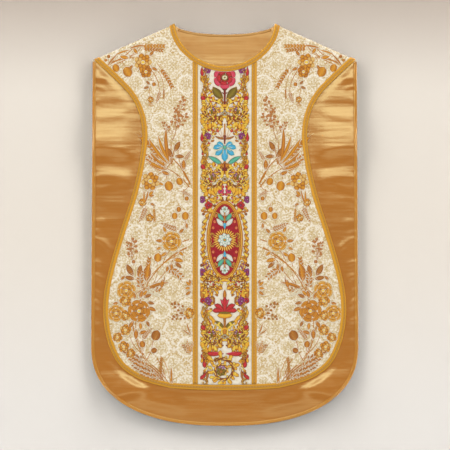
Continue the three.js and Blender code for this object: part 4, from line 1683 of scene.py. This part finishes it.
@dataclass(frozen=True)
class FrontFlowers:
    """Sprays of gold flowers, the same on both sides of the column."""

    stalks: tuple[Stalk, ...] = (
        Stalk(214, 452, 318, 438, 0.12), Stalk(318, 444, 246, 494, 0.1, 2.2),
        Stalk(306, 440, 232, 498, 0.12, 1.6), Stalk(292, 452, 222, 500, 0.14, 1.6),
        Stalk(208, 432, 178, 362, -0.1, 1.6), Stalk(201, 436, 168, 374, -0.14, 1.2),
        Stalk(214, 428, 192, 388, 0.06, 1.2), Stalk(206, 380, 202, 346, 0.08, 1.0),
        Stalk(95, 112, 152, 190, 0.07, 2.8), Stalk(97, 104, 216, 168, 0.12, 1.8),
        Stalk(101, 122, 127, 214, -0.08, 1.5), Stalk(112, 98, 98, 62, 0.2, 1.4),
        Stalk(98, 112, 128, 92, -0.2, 1.2), Stalk(142, 176, 200, 128, -0.05, 1.6),
        Stalk(142, 234, 124, 340, 0.05, 1.2, BERRY), Stalk(98, -40, 172, -116, 0.16, 1.8),
        Stalk(104, -62, 219, -176, 0.09, 2.6), Stalk(136, -84, 214, -180, -0.06, 1.6),
        Stalk(112, -74, 224, -168, 0.08, 1.4, GOLD), Stalk(200, -384, 152, -438, -0.05, 1.8),
        Stalk(186, -366, 160, -434, -0.06, 1.4), Stalk(176, -360, 150, -436, -0.08, 1.2, GOLD),
        Stalk(244, -372, 172, -430, -0.08, 1.4), Stalk(219, -176, 262, -140, 0.1, 1.5),
        Stalk(221, -180, 238, -118, -0.06, 1.5), Stalk(214, -176, 214, -128, 0.05, 1.5),
        Stalk(206, -176, 184, -122, 0.08, 1.3), Stalk(219, -176, 252, -200, 0.1, 2.0),
        Stalk(222, -180, 232, -220, 0.06, 2.0), Stalk(254, -262, 210, -384, 0.06, 2.4),
        Stalk(244, -262, 202, -384, 0.1, 1.4), Stalk(210, -384, 166, -430, -0.06, 2.6),
        Stalk(216, -372, 198, -318, 0.08, 1.4), Stalk(222, -356, 262, -300, -0.1, 1.6),
        Stalk(218, -366, 276, -336, -0.08, 1.5), Stalk(206, 6, 206, 40, 0.05, 1.2),
        Stalk(252, -106, 254, -28, -0.05, 1.1, BERRY), Stalk(100, -240, 134, -238, 0.1, 1.1, BERRY),
    )
    sprigs: tuple[Sprig, ...] = (
        Blossom(224, 446, 20, 26), Leaf(238, 468, 50, 22), Leaf(206, 462, 120, 20, AMBER),
        Leaf(202, 432, -160, 20, AMBER), Blossom(216, 420, 10, 18, AMBER), Bud(306, 452, -110, 24),
        Bud(280, 446, -118, 31), Leaf(262, 458, 4, 26), Leaf(252, 440, -62, 19, AMBER),
        Ear(240, 488, 173, 68), Ear(236, 482, 178, 60, AMBER), Ear(184, 440, -128, 68, AMBER),
        Blade(322, 434, 118, 44, AMBER), Blade(300, 466, 150, 42), Blade(262, 484, 158, 46, AMBER),
        Dot(326, 452, 0, 4, AMBER), Dot(318, 462, 0, 4.6, RUST), Dot(334, 446, 0, 3.6, RUST),
        Leaf(204, 384, 40, 17, RUST), Leaf(206, 380, -24, 18, RUST), Bud(196, 398, -100, 13, AMBER),
        Frond(178, 368, -84, 30, AMBER), Ear(168, 380, -96, 30, AMBER), Blossom(203, 344, 0, 8),
        Plume(203, 338, -90, 17), Berries(146, 246, 104, 58, BERRY), Berries(136, 262, 124, 46, BERRY),
        Berries(126, 296, 100, 48, BERRY), Berries(122, 282, 66, 36, BERRY),
        Berries(148, 250, 52, 34, BERRY), Blade(142, 228, 70, 14, BERRY), Leaf(138, 200, 112, 34, RUST),
        Leaf(142, 184, 52, 36, RUST), Leaf(138, 188, 176, 28, RUST), Plume(144, 166, 62, 82, AMBER),
        Plume(150, 168, 30, 76), Ear(162, 176, 40, 84, AMBER), Blade(156, 152, 8, 58, AMBER),
        Blade(158, 162, 24, 56), Blade(150, 170, 56, 84), Blade(152, 172, 74, 96, AMBER),
        Blade(154, 166, 42, 92), Blade(160, 158, 32, 64, AMBER), Blade(162, 152, 18, 58),
        Spray(160, 160, 14, 60, AMBER), Frond(168, 150, 16, 40), Blossom(222, 236, 10, 9, AMBER),
        Blossom(204, 120, 40, 27), Leaf(196, 96, -60, 22), Leaf(184, 116, 196, 18), Bud(132, 140, -112, 23),
        Bud(160, 134, -104, 29), Leaf(150, 138, 16, 25, AMBER), Frond(108, 176, 108, 28, AMBER),
        Leaf(112, 150, 84, 30, AMBER), Bud(105, 86, -94, 14, AMBER), Bud(126, 58, -90, 16, AMBER),
        Frond(118, 92, 196, 24, AMBER), Blossom(226, 62, 0, 10), Leaf(208, 76, 150, 16, AMBER),
        Leaf(206, 60, 200, 16, AMBER), Blade(210, 96, -84, 44, AMBER), Blade(222, 96, -96, 52),
        Frond(216, 52, -78, 40, AMBER), Ear(196, 54, -100, 40), Blossom(206, 20, 20, 10),
        Bud(138, 6, 92, 20), Bud(108, 2, 90, 24), Frond(126, -12, 8, 44, AMBER),
        Leaf(104, -12, 84, 18, AMBER), Rose(146, -45, 12, 28), Leaf(128, -72, 214, 20),
        Leaf(158, -74, -40, 22), Berries(252, -98, 88, 52, BERRY), Berries(252, -82, 62, 34, BERRY),
        Bud(250, -112, 90, 12, BERRY), Ear(216, -162, 92, 66, AMBER), Leaf(215, -156, 92, 50, AMBER),
        Blade(214, -160, 90, 66), Bud(186, -114, 96, 26), Leaf(142, -94, 186, 30),
        Leaf(138, -102, 214, 26, RUST), Leaf(146, -104, -96, 24, AMBER), Leaf(156, -110, -84, 20, AMBER),
        Leaf(250, -140, 54, 38, RUST), Leaf(236, -142, 96, 34, RUST), Leaf(246, -148, 6, 30, RUST),
        Blade(212, -172, 156, 62, AMBER), Blade(208, -176, 150, 50, RUST), Blade(166, -138, -96, 24, RUST),
        Leaf(170, -148, -86, 26, AMBER), Frond(212, -176, 200, 34, CREAM),
        Berries(214, -180, 170, 34, AMBER), Rose(270, -180, 40, 27), Leaf(256, -204, 60, 20),
        Blossom(272, -208, 70, 18), Leaf(286, -152, 130, 18, AMBER), Leaf(290, -212, -20, 18, AMBER),
        Spray(228, -176, 74, 44, AMBER), Spray(158, -118, 200, 44, AMBER), Leaf(168, -44, 0, 22, AMBER),
        Leaf(160, -22, 60, 20), Leaf(126, -24, 130, 20, AMBER), Leaf(172, -60, -30, 18),
        Rose(235, -236, 10, 31, AMBER), Leaf(222, -200, 150, 24, RUST), Leaf(232, -202, 100, 24, AMBER),
        Leaf(226, -196, 124, 22), Leaf(244, -204, 66, 22, AMBER), Leaf(212, -226, 196, 26, AMBER),
        Leaf(250, -262, -64, 26, AMBER), Leaf(232, -266, -100, 22), Leaf(214, -212, 186, 22, RUST),
        Leaf(216, -262, 236, 20, RUST), Rose(298, -242, 24, 24), Blossom(272, -248, 0, 16),
        Blossom(272, -288, 20, 17), Blossom(294, -308, 44, 15), Blossom(277, -334, 10, 17),
        Blossom(258, -352, 30, 15), Bud(200, -330, 112, 31, RUST), Bud(224, -346, 84, 20, AMBER),
        Bud(210, -350, 160, 18, RUST), Frond(226, -316, 118, 36, AMBER), Leaf(244, -284, -96, 30, AMBER),
        Leaf(236, -300, 150, 24, AMBER), Spray(208, -390, 16, 60, AMBER), Spray(190, -408, 10, 62, RUST),
        Spray(222, -372, 16, 56, RUST), Spray(174, -420, 2, 54, AMBER), Ear(176, -416, 88, 46, AMBER),
        Blade(143, -437, 76, 48, AMBER), Blade(150, -438, 92, 34), Plume(170, -426, 60, 40, AMBER),
        Leaf(92, -168, 36, 20), Leaf(92, -172, -12, 18), Leaf(92, -180, -44, 20, AMBER),
        Leaf(92, -164, 66, 16, AMBER), Blossom(96, -242, 0, 17), Berries(100, -240, 26, 44, RUST),
        Berries(100, -242, -22, 40, RUST), Blade(92, -300, 58, 34, AMBER), Blade(92, -302, 24, 30, AMBER),
        Frond(94, -356, 66, 34), Berries(94, -350, 40, 26, BERRY), Frond(96, -352, 96, 28),
    )

    def build(self) -> Object:
        """Embroiders every spray."""
        work = Flora("front_flowers", FRONT, FRONT.wall)
        work.edging = 1.3
        for stalk in self.stalks:
            work.stem(stalk.x0, stalk.y0, stalk.x1, stalk.y1, stalk.bend, stalk.width, stalk.silk)
        for sprig in self.sprigs:
            sprig.embroider(work)
        return work.build(ThreadWork("gold_flowers").material(), "front_brocade")


# The column's coloured needlework


@dataclass(frozen=True)
class ColumnNeedlework:
    """The column's flowers and gold scrolls. Heights are measured along the garment."""

    ground: float = ON_FRONT + 0.9
    reach: float = 67.5
    fields: tuple[tuple[float, float], ...] = (
        (-440, 48), (-362, 44), (-346, 20), (-338, 3), (-292, 3), (-282, 32), (-250, 47), (-200, 33),
        (-168, 6), (-150, 6), (-140, 26), (-110, 44), (-80, 52), (-40, 55), (0, 52), (30, 42), (52, 26),
        (66, 3), (160, 3), (172, 44), (205, 50), (245, 27), (278, 5), (338, 5), (346, 36), (430, 50),
    )

    def build(self) -> Object:
        """Embroiders the column from the neck down."""
        work = Flora("column_flowers", FRONT, self.ground)
        self.filling(work)
        self.top_rose(work)
        for y in (306, 126):
            self.scroll_pair(work, y)
        self.lily(work)
        self.around_medallion(work)
        self.fleur(work)
        self.scroll_pair(work, -306)
        self.round_scroll(work)
        self.side_growth(work)
        self.trim(work)
        return work.build(ThreadWork("column_silks").material(), "column_embroidery")

    def trim(self, work: Flora) -> None:
        """Ends the needlework at a pale margin beside the braids and under the neck's braid."""
        for spots in work.spots:
            spots[:, 0] = np.clip(spots[:, 0], -self.reach, self.reach)
            top = CUT.front_neck_y(spots[:, 0]) - CUT.braid - 1.5
            bottom = CUT.front_hem_y(spots[:, 0]) + CUT.braid + 1.5
            spots[:, 1] = np.clip(spots[:, 1], bottom, top)

    def filling(self, work: Flora) -> None:
        """Small gold leaves close together over a dark ground wherever the pale fields leave room."""
        seeded = np.random.default_rng(11)
        fields = np.array(self.fields)
        for y in np.arange(-428.0, 430.0, 7.4):
            pale = float(np.interp(y, fields[:, 0], fields[:, 1]))
            for x in np.arange(max(pale, 0) + 3, 62, 7.4):
                spot = (x + seeded.uniform(-1.5, 1.5), y + seeded.uniform(-2, 2))
                angle = 90 + 70 * sin(x * 0.11 + y * 0.043) + seeded.uniform(-50, 50)
                size = seeded.uniform(8, 13)
                if spot[0] + size * cos(radians(angle)) > self.reach:
                    angle = 180 - angle
                silk = (GILT, YELLOW, AMBER, YELLOW, CREAM)[seeded.integers(5)]
                gap = (UMBER, CRIMSON, AMBER, IVORY, IVORY)[seeded.integers(5)]
                work.disc(*spot, seeded.uniform(3.2, 5.0), gap, -1)
                bend = seeded.uniform(-50, 50)
                work.petal(*spot, angle, size, size * 0.46, silk, seeded.uniform(0, 1), bend, points=5)

    def top_rose(self, work: Flora) -> None:
        """The crimson rose under the neck, with its stem and two olive leaves."""
        whole, work.sides = work.sides, (1,)
        work.rose(0, 404, 31, 90, CRIMSON, WINE, CREAM, ROSE)
        for radius, silk, layer in ((9.5, OLIVE, 16), (6.8, CREAM, 17), (3.6, OLIVE, 18)):
            work.disc(0, 404, radius, silk, layer)
        work.stem(0, 376, 0, 314, 0, 4.2, WINE, 1)
        work.sides = whole
        work.leaf(5, 347, 38, 42, OLIVE, 22, 0.5, AMBER)
        work.blade(4, 345, 20, 44, 7, YELLOW, 0, 60, UMBER, 8)
        for y in (334, 322):
            work.blade(2, y, 42, 13, 4.4, RUST, 2, 24, UMBER)
        for y in (368, 358):
            work.blade(2, y, 60, 9, 2.6, WINE, 2, -24)

    def scroll_pair(self, work: Flora, y: float) -> None:
        """Two facing acanthus scrolls round a small ring, with purple and green hearts."""
        work.disc(0, y, 7, CREAM, 4, RUST)
        work.disc(0, y, 3, AMBER, 7)
        work.scroll(34, y + 4, 27, 205, 1.15, 1)
        work.blossom(29, y + 3, 11, 30, OLIVE, RUST, AMBER, 5)
        work.blossom(26, y + 13, 8, 80, LILAC, PURPLE, CREAM, 5)
        for k, turn in enumerate((160, 128, 100, 74, 48)):
            place = radians(turn)
            x, v = 34 + 25 * cos(place), y + 6 + 26 * sin(place)
            work.petal(x, v, turn - 34, 15, 8.6, YELLOW if k % 2 else GILT, 1, 46)
        for k, turn in enumerate((-14, -38, -62, -86, -110, -134)):
            place = radians(turn)
            x, v = 36 + 24 * cos(place), y + 2 + 24 * sin(place)
            work.petal(x, v, turn + 26, 24 - k, 10, GILT if k % 2 else YELLOW, 1, -48)
            work.blade(x, v, turn + 30, 17 - k, 2.4, YELLOW, 3.4, -46, points=5)
        work.stem(7, y - 6, 50, y - 34, -0.25, 3.6, AMBER, 2)
        work.stem(7, y + 5, 30, y + 34, 0.25, 3.6, YELLOW, 2)
        work.petal(52, y - 22, -100, 26, 12, GILT, 0, 20)
        work.petal(61, y - 4, -88, 30, 11, GILT, 0, -14)
        work.petal(60, y + 26, -98, 26, 11, GILT, 0, 10)

    def lily(self, work: Flora) -> None:
        """The cyan lily on its stem, with teal leaves."""
        whole, work.sides = work.sides, (1,)
        work.stem(0, 278, 0, 228, 0, 2.6, AMBER, 1)
        work.stem(0, 246, 0, 222, 0, 4.4, WINE, 2)
        work.stem(0, 184, 0, 150, 0, 4.4, RUST, 1)
        work.petal(0, 213, -90, 38, 17, CYAN, 3, edge=TEAL)
        work.petal(0, 170, -90, 27, 14, WINE, 2)
        work.disc(0, 213, 5, TEAL, 6, RUST)
        work.sides = whole
        work.petal(2, 214, 16, 30, 13, CYAN, 3, -48, edge=TEAL)
        work.petal(2, 213, 58, 23, 12, CYAN, 2, -54, edge=TEAL)
        work.petal(2, 211, -48, 30, 13, CYAN, 2, 22, edge=TEAL)
        work.blade(1, 236, 4, 26, 4.6, RUST, 2, 26, UMBER)
        work.leaf(6, 164, 40, 46, TEAL, -16, 0.27)
        for k, turn in enumerate((20, 44, 70)):
            work.blade(2, 160 - 3 * k, turn, 17, 6, AMBER, 1 + 0.2 * k, 26, UMBER)
        for angle, bend in ((20, -46), (60, -52), (-44, 22), (-88, 0)):
            work.blade(4, 212, angle, 20, 1.6, WHITE, 6, bend, points=5)
            work.blade(5, 210, angle + 10, 17, 1.1, TEAL, 6, bend, points=5)
        for angle in (62, 84, 106):
            work.twig(6, 236, angle, 34, 1.2, AMBER, 0, -16)

    def around_medallion(self, work: Flora) -> None:
        """Gold growth above and below the medallion, with purple and magenta flowers."""
        work.blossom(11, 94, 9, 20, ROSE, PURPLE, WINE, 5)
        work.blossom(63, 70, 10, 40, PURPLE, WINE, LILAC, 5)
        work.blossom(44, 54, 11, 10, CRIMSON, WINE, PURPLE, 5)
        work.blossom(62, -129, 10, 0, PURPLE, WINE, ROSE, 5)
        work.blossom(51, -113, 8, 30, PURPLE, WINE, LILAC, 5)
        work.scroll(38, -160, 25, 160, 1.3, -1)
        for k, x, y, angle in ring(38, -160, 22, range(-150, 31, 30)):
            work.petal(x, y, angle - 30, 14, 7.4, GILT, 0.4 + 0.1 * k, 46)
        work.petal(62, -160, -92, 42, 15, AMBER, 0, 8)
        work.petal(50, -176, -84, 24, 11, GILT, 0, -10)
        for y, angle, size in ((78, 30, 24), (82, 64, 26), (64, 8, 22), (40, -20, 20), (88, 96, 20)):
            work.petal(22, y, angle, size, size * 0.42, GILT, 1, 36)
            work.blade(22, y, angle, size * 0.7, 2, YELLOW, 3.2, 30, points=5)
        for k in range(12):
            y = 50 - 15.5 * k
            reach = 50 * sqrt(max(0.0, 1 - ((y + 40) / 112) ** 2)) + 5
            work.petal(reach, y, -70, 17, 8, GILT if k % 2 else YELLOW, 1, 52)
            work.petal(min(reach + 9, 63), y - 6, -96, 15, 7, AMBER, 0, -40)

    def fleur(self, work: Flora) -> None:
        """The red flower with a gold calyx, on its stem between two curling leaves."""
        whole, work.sides = work.sides, (1,)
        work.petal(0, -248, 90, 52, 13, CRIMSON, 3, edge=WINE)
        work.blade(0, -206, 90, 28, 9, AMBER, 1, edge=UMBER)
        work.shape(Profile.DISC, -20, -248, 0, 40, 15, GILT, 4, edge=UMBER, points=9)
        work.blade(-17, -241, 0, 34, 6, OLIVE, 6, edge=RUST, points=7)
        work.stem(0, -256, 0, -292, 0, 5, RUST, 2)
        work.disc(0, -292, 8, AMBER, 3, UMBER)
        work.sides = whole
        work.petal(1, -240, 64, 36, 13, CRIMSON, 2, -52, edge=WINE)
        work.petal(2, -238, 22, 32, 13, CRIMSON, 3, -34, edge=WINE)
        work.blade(2, -232, 96, 30, 8, ROSE, 1, -50, WINE)
        work.blade(28, -216, 78, 20, 5, RUST, 1, 10, UMBER)
        work.blade(2, -284, 58, 34, 9, OLIVE, 1, -40, RUST)
        work.petal(22, -264, 8, 27, 10, GILT, 1, 66)
        work.blossom(47, -209, 12, 20, PURPLE, WINE, LILAC, 5)
        work.blossom(60, -207, 8, 50, CRIMSON, WINE, PURPLE, 5)
        work.stem(8, -166, 36, -206, 0.2, 2.4, AMBER, 1)

    def round_scroll(self, work: Flora) -> None:
        """The wreath at the hem, under a pair of crimson leaves."""
        work.petal(3, -353, -8, 46, 12, CRIMSON, 3, 22, edge=WINE, points=8)
        work.blade(5, -352, 4, 30, 3, ROSE, 6, 12)
        work.petal(53, -366, -72, 26, 11, CRIMSON, 1, -30, edge=WINE)
        work.petal(60, -374, 100, 20, 8, CRIMSON, 2, -46, edge=WINE)
        work.petal(50, -404, -60, 27, 10, CRIMSON, 1, 30, edge=WINE)
        work.blade(46, -398, -92, 32, 5, RUST, 0, 26, UMBER)
        whole, work.sides = work.sides, (1,)
        work.scroll(-6, -399, 35, 130, 1.5, -1)
        for k, x, y, angle in ring(-6, -399, 27, np.arange(0, 360, 22.5)):
            work.petal(x, y, angle - 62, 17, 8, GILT if k % 2 else YELLOW, 0.5 + 0.1 * k, 40)
        work.blossom(-10, -402, 13, 10, OLIVE, RUST, AMBER, 6)
        work.blossom(-8, -388, 9, 60, LILAC, PURPLE, CREAM, 5)
        work.sides = whole

    def side_growth(self, work: Flora) -> None:
        """Small gold curls with red buds along both edges, between the larger forms."""
        for y, hand in (
            (424, 1), (398, -1), (372, 1), (232, 1), (212, -1), (190, 1), (170, -1), (-224, 1), (-246, -1),
            (-268, 1), (-356, 1), (-432, 1)
        ):
            work.scroll(56, y, 8, 90 * hand, 0.9, hand)
            work.petal(62, y - 6 * hand, -96, 16, 6.6, GILT, 0, 24 * hand)
            work.petal(53, y - 8 * hand, -84, 15, 6, AMBER, 0, -30 * hand)
        for y in (352, 164, -276):
            work.bud(66, y + 8, -118, 15, CRIMSON, WINE)
        for y in (426, 246):
            work.blossom(47, y - 2, 9.5, 20, PURPLE, WINE, LILAC, 5)
            work.petal(62, y + 8, -84, 26, 9, CRIMSON, 2, -18, edge=WINE)
        for y in (340, 330, 290, 276, 262, 150, 136, 110, 92, -142, -186, -292, -320, -338):
            work.petal(64, y, 160, 12, 5.6, YELLOW, 2.6, 60)


# The medallion


@dataclass(frozen=True)
class Medallion(Cloth):
    """A padded oval with a generic design: flowers and a rayed rosette on crimson, in a gold rope."""

    y: float = -41.0
    half_width: float = 50.0
    half_length: float = 108.0
    wall: float = 1.0
    rise: float = 2.2
    lift: float = ON_FRONT + 0.9 + 0.35

    def dome(self, x: Array, y: Array) -> Array:
        """How far the padding raises the cloth."""
        off = (x / self.half_width) ** 2 + ((y - self.y) / self.half_length) ** 2
        return self.rise * np.sqrt(np.maximum(0, 1 - off))

    def build(self) -> Object:
        """Makes the padded oval and its needlework."""
        share = np.linspace(-1, 1, 33)
        u, v = np.meshgrid(share, np.linspace(-1, 1, 61))
        x = self.half_width * u * np.sqrt(1 - v * v / 2)
        y = self.y + self.half_length * v * np.sqrt(1 - u * u / 2)
        grid = np.stack([x, y], axis=-1)
        upper = self.lift + self.wall + self.dome(x, y)
        material = PlainWeave("medallion_silk", "9E1524", "B92232", 0.5).material()
        return self.lay(grid, FRONT, self.lift, upper, material, None, [self.design()])

    def design(self) -> Object:
        """Embroiders the rope, the rays, the rosette and the leafy flowers."""
        work = Flora("medallion_design", Padding(self), 0.0)
        whole, work.sides = work.sides, (1,)
        turns = np.linspace(0, 2 * pi, 73)
        for inset, width, silk in ((2.6, 5.2, AMBER), (4.2, 2.0, YELLOW), (8.0, 3.2, GOLD)):
            path = np.stack(
                [
                    (self.half_width - inset) * np.cos(turns),
                    self.y + (self.half_length - inset) * np.sin(turns)
                ],
                axis=1
            )
            work.ribbon(path, np.full(73, width / 2), silk, 1 + 0.2 * inset)
        middle = self.y
        for _, x, y, angle in ring(0, middle, 17, np.arange(28) * 360 / 28):
            work.blade(x, y, angle, 15, 3.4, YELLOW, 0.5)
        work.blossom(0, middle, 19, 90, WHITE, TEAL, GOLD, 8)
        work.blossom(0, middle, 10, 112, ROSE, WINE, YELLOW, 8)
        for up in (1, -1):
            work.twig(0, middle + 34 * up, 90 * up, 58, 3.2, GOLD, 1, edge=OUTLINE, points=10)
            work.blossom(0, middle + 84 * up, 9, 90, WHITE, TEAL, GOLD, 6)
            work.petal(0, middle + 30 * up, 90 * up, 17, 9, CYAN, 2, edge=TEAL)
        work.sides = whole
        for up in (1, -1):
            for k, (off, angle, size) in enumerate(((38, 34, 30), (52, 40, 29), (66, 48, 21))):
                work.leaf(1, middle + off * up, angle * up, size, TEAL if k % 2 else WHITE, 22 * up, 0.4)
            for k in range(4):
                work.disc(36 - 4.2 * k, middle + (16 + 17 * k) * up, 2.6, ROSE, 3, YELLOW)
            work.scroll(33, middle + 12 * up, 7, -60 * up, 0.9, up)
            work.scroll(22, middle + 70 * up, 6, -60 * up, 0.9, up)
        return work.build(ThreadWork("medallion_silks").material(), self.slot)


@dataclass(frozen=True)
class Padding(Surface):
    """The medallion's domed upper side, which its needlework follows."""

    medallion: Medallion

    def base(self, x: Array, y: Array) -> Array:
        """The top of the padded cloth."""
        flat = FRONT.base(x, y)
        flat[..., 2] += self.medallion.lift + self.medallion.wall + self.medallion.dome(x, y)
        return flat


# Studio


@dataclass(frozen=True)
class Softbox:
    """A wide soft light aimed at the garment, at an angle up from the horizon beyond the neck."""

    name: str
    angle: float
    size: tuple[float, float]
    power: float
    distance: float = 6.0

    def build(self) -> None:
        """Hangs the light."""
        light = bpy.data.lights.new(self.name, "AREA")
        light.shape = "RECTANGLE"
        light.size, light.size_y = self.size
        light.energy = self.power
        light.color = linear("FFFBF5")[:3]
        turn = radians(self.angle)
        made = stood(self.name, light)
        made.location = (0.0, self.distance * cos(turn), self.distance * sin(turn))
        made.rotation_euler = (turn - pi / 2, 0.0, 0.0)


@dataclass(frozen=True)
class Studio:
    """The floor, the soft light and the camera straight above."""

    distance: float = 3.4375
    aside: float = 0.0008
    lens: float = 100.0
    floor_half: float = 4.0
    floor_gap: float = 0.0003
    softboxes: tuple[Softbox, ...] = (
        Softbox("softbox_key", 69.5, (5.0, 1.9), 180.0),
        Softbox("softbox_fill", 112.0, (5.0, 1.6), 40.0),
    )
    dome_low: float = 1.4
    dome_middle: float = 0.49
    dome_top: float = 0.15
    rim_count: int = 16
    rim_angle: float = 10.0
    rim_width: float = 9.0
    rim_power: float = 9.6
    rim_lean: float = 0.7
    rim_dip: float = 5.8

    def build(self) -> None:
        """Sets up all of it."""
        bpy.context.scene.view_settings.view_transform = "Standard"
        self.camera()
        floor = self.floor()
        self.dome()
        for softbox in self.softboxes:
            softbox.build()
        self.rim(floor)

    def camera(self) -> None:
        """The camera looks straight down with the neck at the top."""
        data = bpy.data.cameras.new("camera")
        data.lens = self.lens
        data.sensor_width = 36.0
        made = stood("camera", data)
        made.location = (self.aside, 0.0, self.distance)
        bpy.context.scene.camera = made

    def floor(self) -> Object:
        """A wide pale floor that the garment lies on."""
        half, low = self.floor_half, -self.floor_gap
        mesh = bpy.data.meshes.new("floor")
        corners = [(-half, -half, low), (half, -half, low), (half, half, low), (-half, half, low)]
        mesh.from_pydata(corners, [], [(0, 1, 2, 3)])
        mesh.materials.append(PaleFloor().material())
        made = stood("floor", mesh)
        return made

    def dome(self) -> None:
        """Soft light from all round, strongest near the horizon, with a dark patch behind the camera."""
        world = bpy.data.worlds.new("dome")
        world.use_nodes = True
        tree = world.node_tree
        place = tree.nodes.new("ShaderNodeTexCoord")
        parts = tree.nodes.new("ShaderNodeSeparateXYZ")
        tree.links.new(place.outputs["Generated"], parts.inputs[0])
        high = self.ramp(tree, parts.outputs["Z"], (0.88, 0.96), (self.dome_middle, self.dome_top))
        low = self.ramp(tree, parts.outputs["Z"], (0.1, 0.25), (self.dome_low - self.dome_middle, 0.0))
        total = tree.nodes.new("ShaderNodeMath")
        tree.links.new(high, total.inputs[0])
        tree.links.new(low, total.inputs[1])
        background = tree.nodes["Background"]
        background.inputs["Color"].default_value = linear("FFFBF5")
        tree.links.new(total.outputs[0], background.inputs["Strength"])
        bpy.context.scene.world = world

    def ramp(self, tree: NodeTree, value: NodeSocket, at: tuple[float, float],
             between: tuple[float, float]) -> NodeSocket:
        """A straight change from one strength to another between two heights."""
        node = tree.nodes.new("ShaderNodeMapRange")
        node.inputs["From Min"].default_value, node.inputs["From Max"].default_value = at
        node.inputs["To Min"].default_value, node.inputs["To Max"].default_value = between
        tree.links.new(value, node.inputs["Value"])
        return node.outputs["Result"]

    def rim(self, floor: Object) -> None:
        """Low soft lights all round, on the floor alone, so that the garment throws a wide soft shadow."""
        lit = bpy.data.collections.new("lit_by_rim")
        lit.objects.link(floor)
        for k in range(self.rim_count):
            azimuth = 2 * pi * k / self.rim_count
            light = bpy.data.lights.new(f"rim_{k}", "SUN")
            light.angle = radians(self.rim_width)
            low = self.rim_angle - self.rim_dip * abs(sin(azimuth))
            share = sin(radians(self.rim_angle)) / sin(radians(low))
            light.energy = self.rim_power * share * (1 + self.rim_lean * sin(azimuth))
            light.color = linear("FFFBF5")[:3]
            made = stood(f"rim_{k}", light)
            made.rotation_euler = (radians(90 - low), 0.0, azimuth + pi / 2)
            made.light_linking.receiver_collection = lit


# Everything


def main() -> None:
    """Builds the garment from the surface upwards, then the studio."""
    logging.basicConfig(level=logging.INFO, format="%(message)s")
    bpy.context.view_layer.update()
    BackPanel("back_panel", "back_brocade").build()
    Lining("back_lining", "lining_satin", ("back_panel",)).build()
    EdgeBinding("back_edge_binding", "edge_binding_satin", ("back_lining",)).build()
    NeckBinding("back_neck_binding", "neck_binding_satin", ("back_lining",)).build()
    FrontPanel("front_panel", "front_brocade", ("back_lining",)).build([FrontFlowers().build()])
    ColumnCloth("column", "column_embroidery", ("front_panel",)).build([ColumnNeedlework().build()])
    ColumnBraid("column_braid_left", "column_braid_left", ("front_panel",), -88.0, -74.0).build()
    ColumnBraid("column_braid_right", "column_braid_right", ("front_panel",), 74.0, 88.0).build()
    EdgeBraid("border_braid", "border_braid", ("front_panel",)).build(CUT.border(), -1)
    EdgeBraid("neck_braid", "neck_braid", ("front_panel",)).build(CUT.scoop(), 1)
    Medallion("medallion", "medallion_embroidery", ("column",)).build()
    Studio().build()


if __name__ == "__main__":
    main()
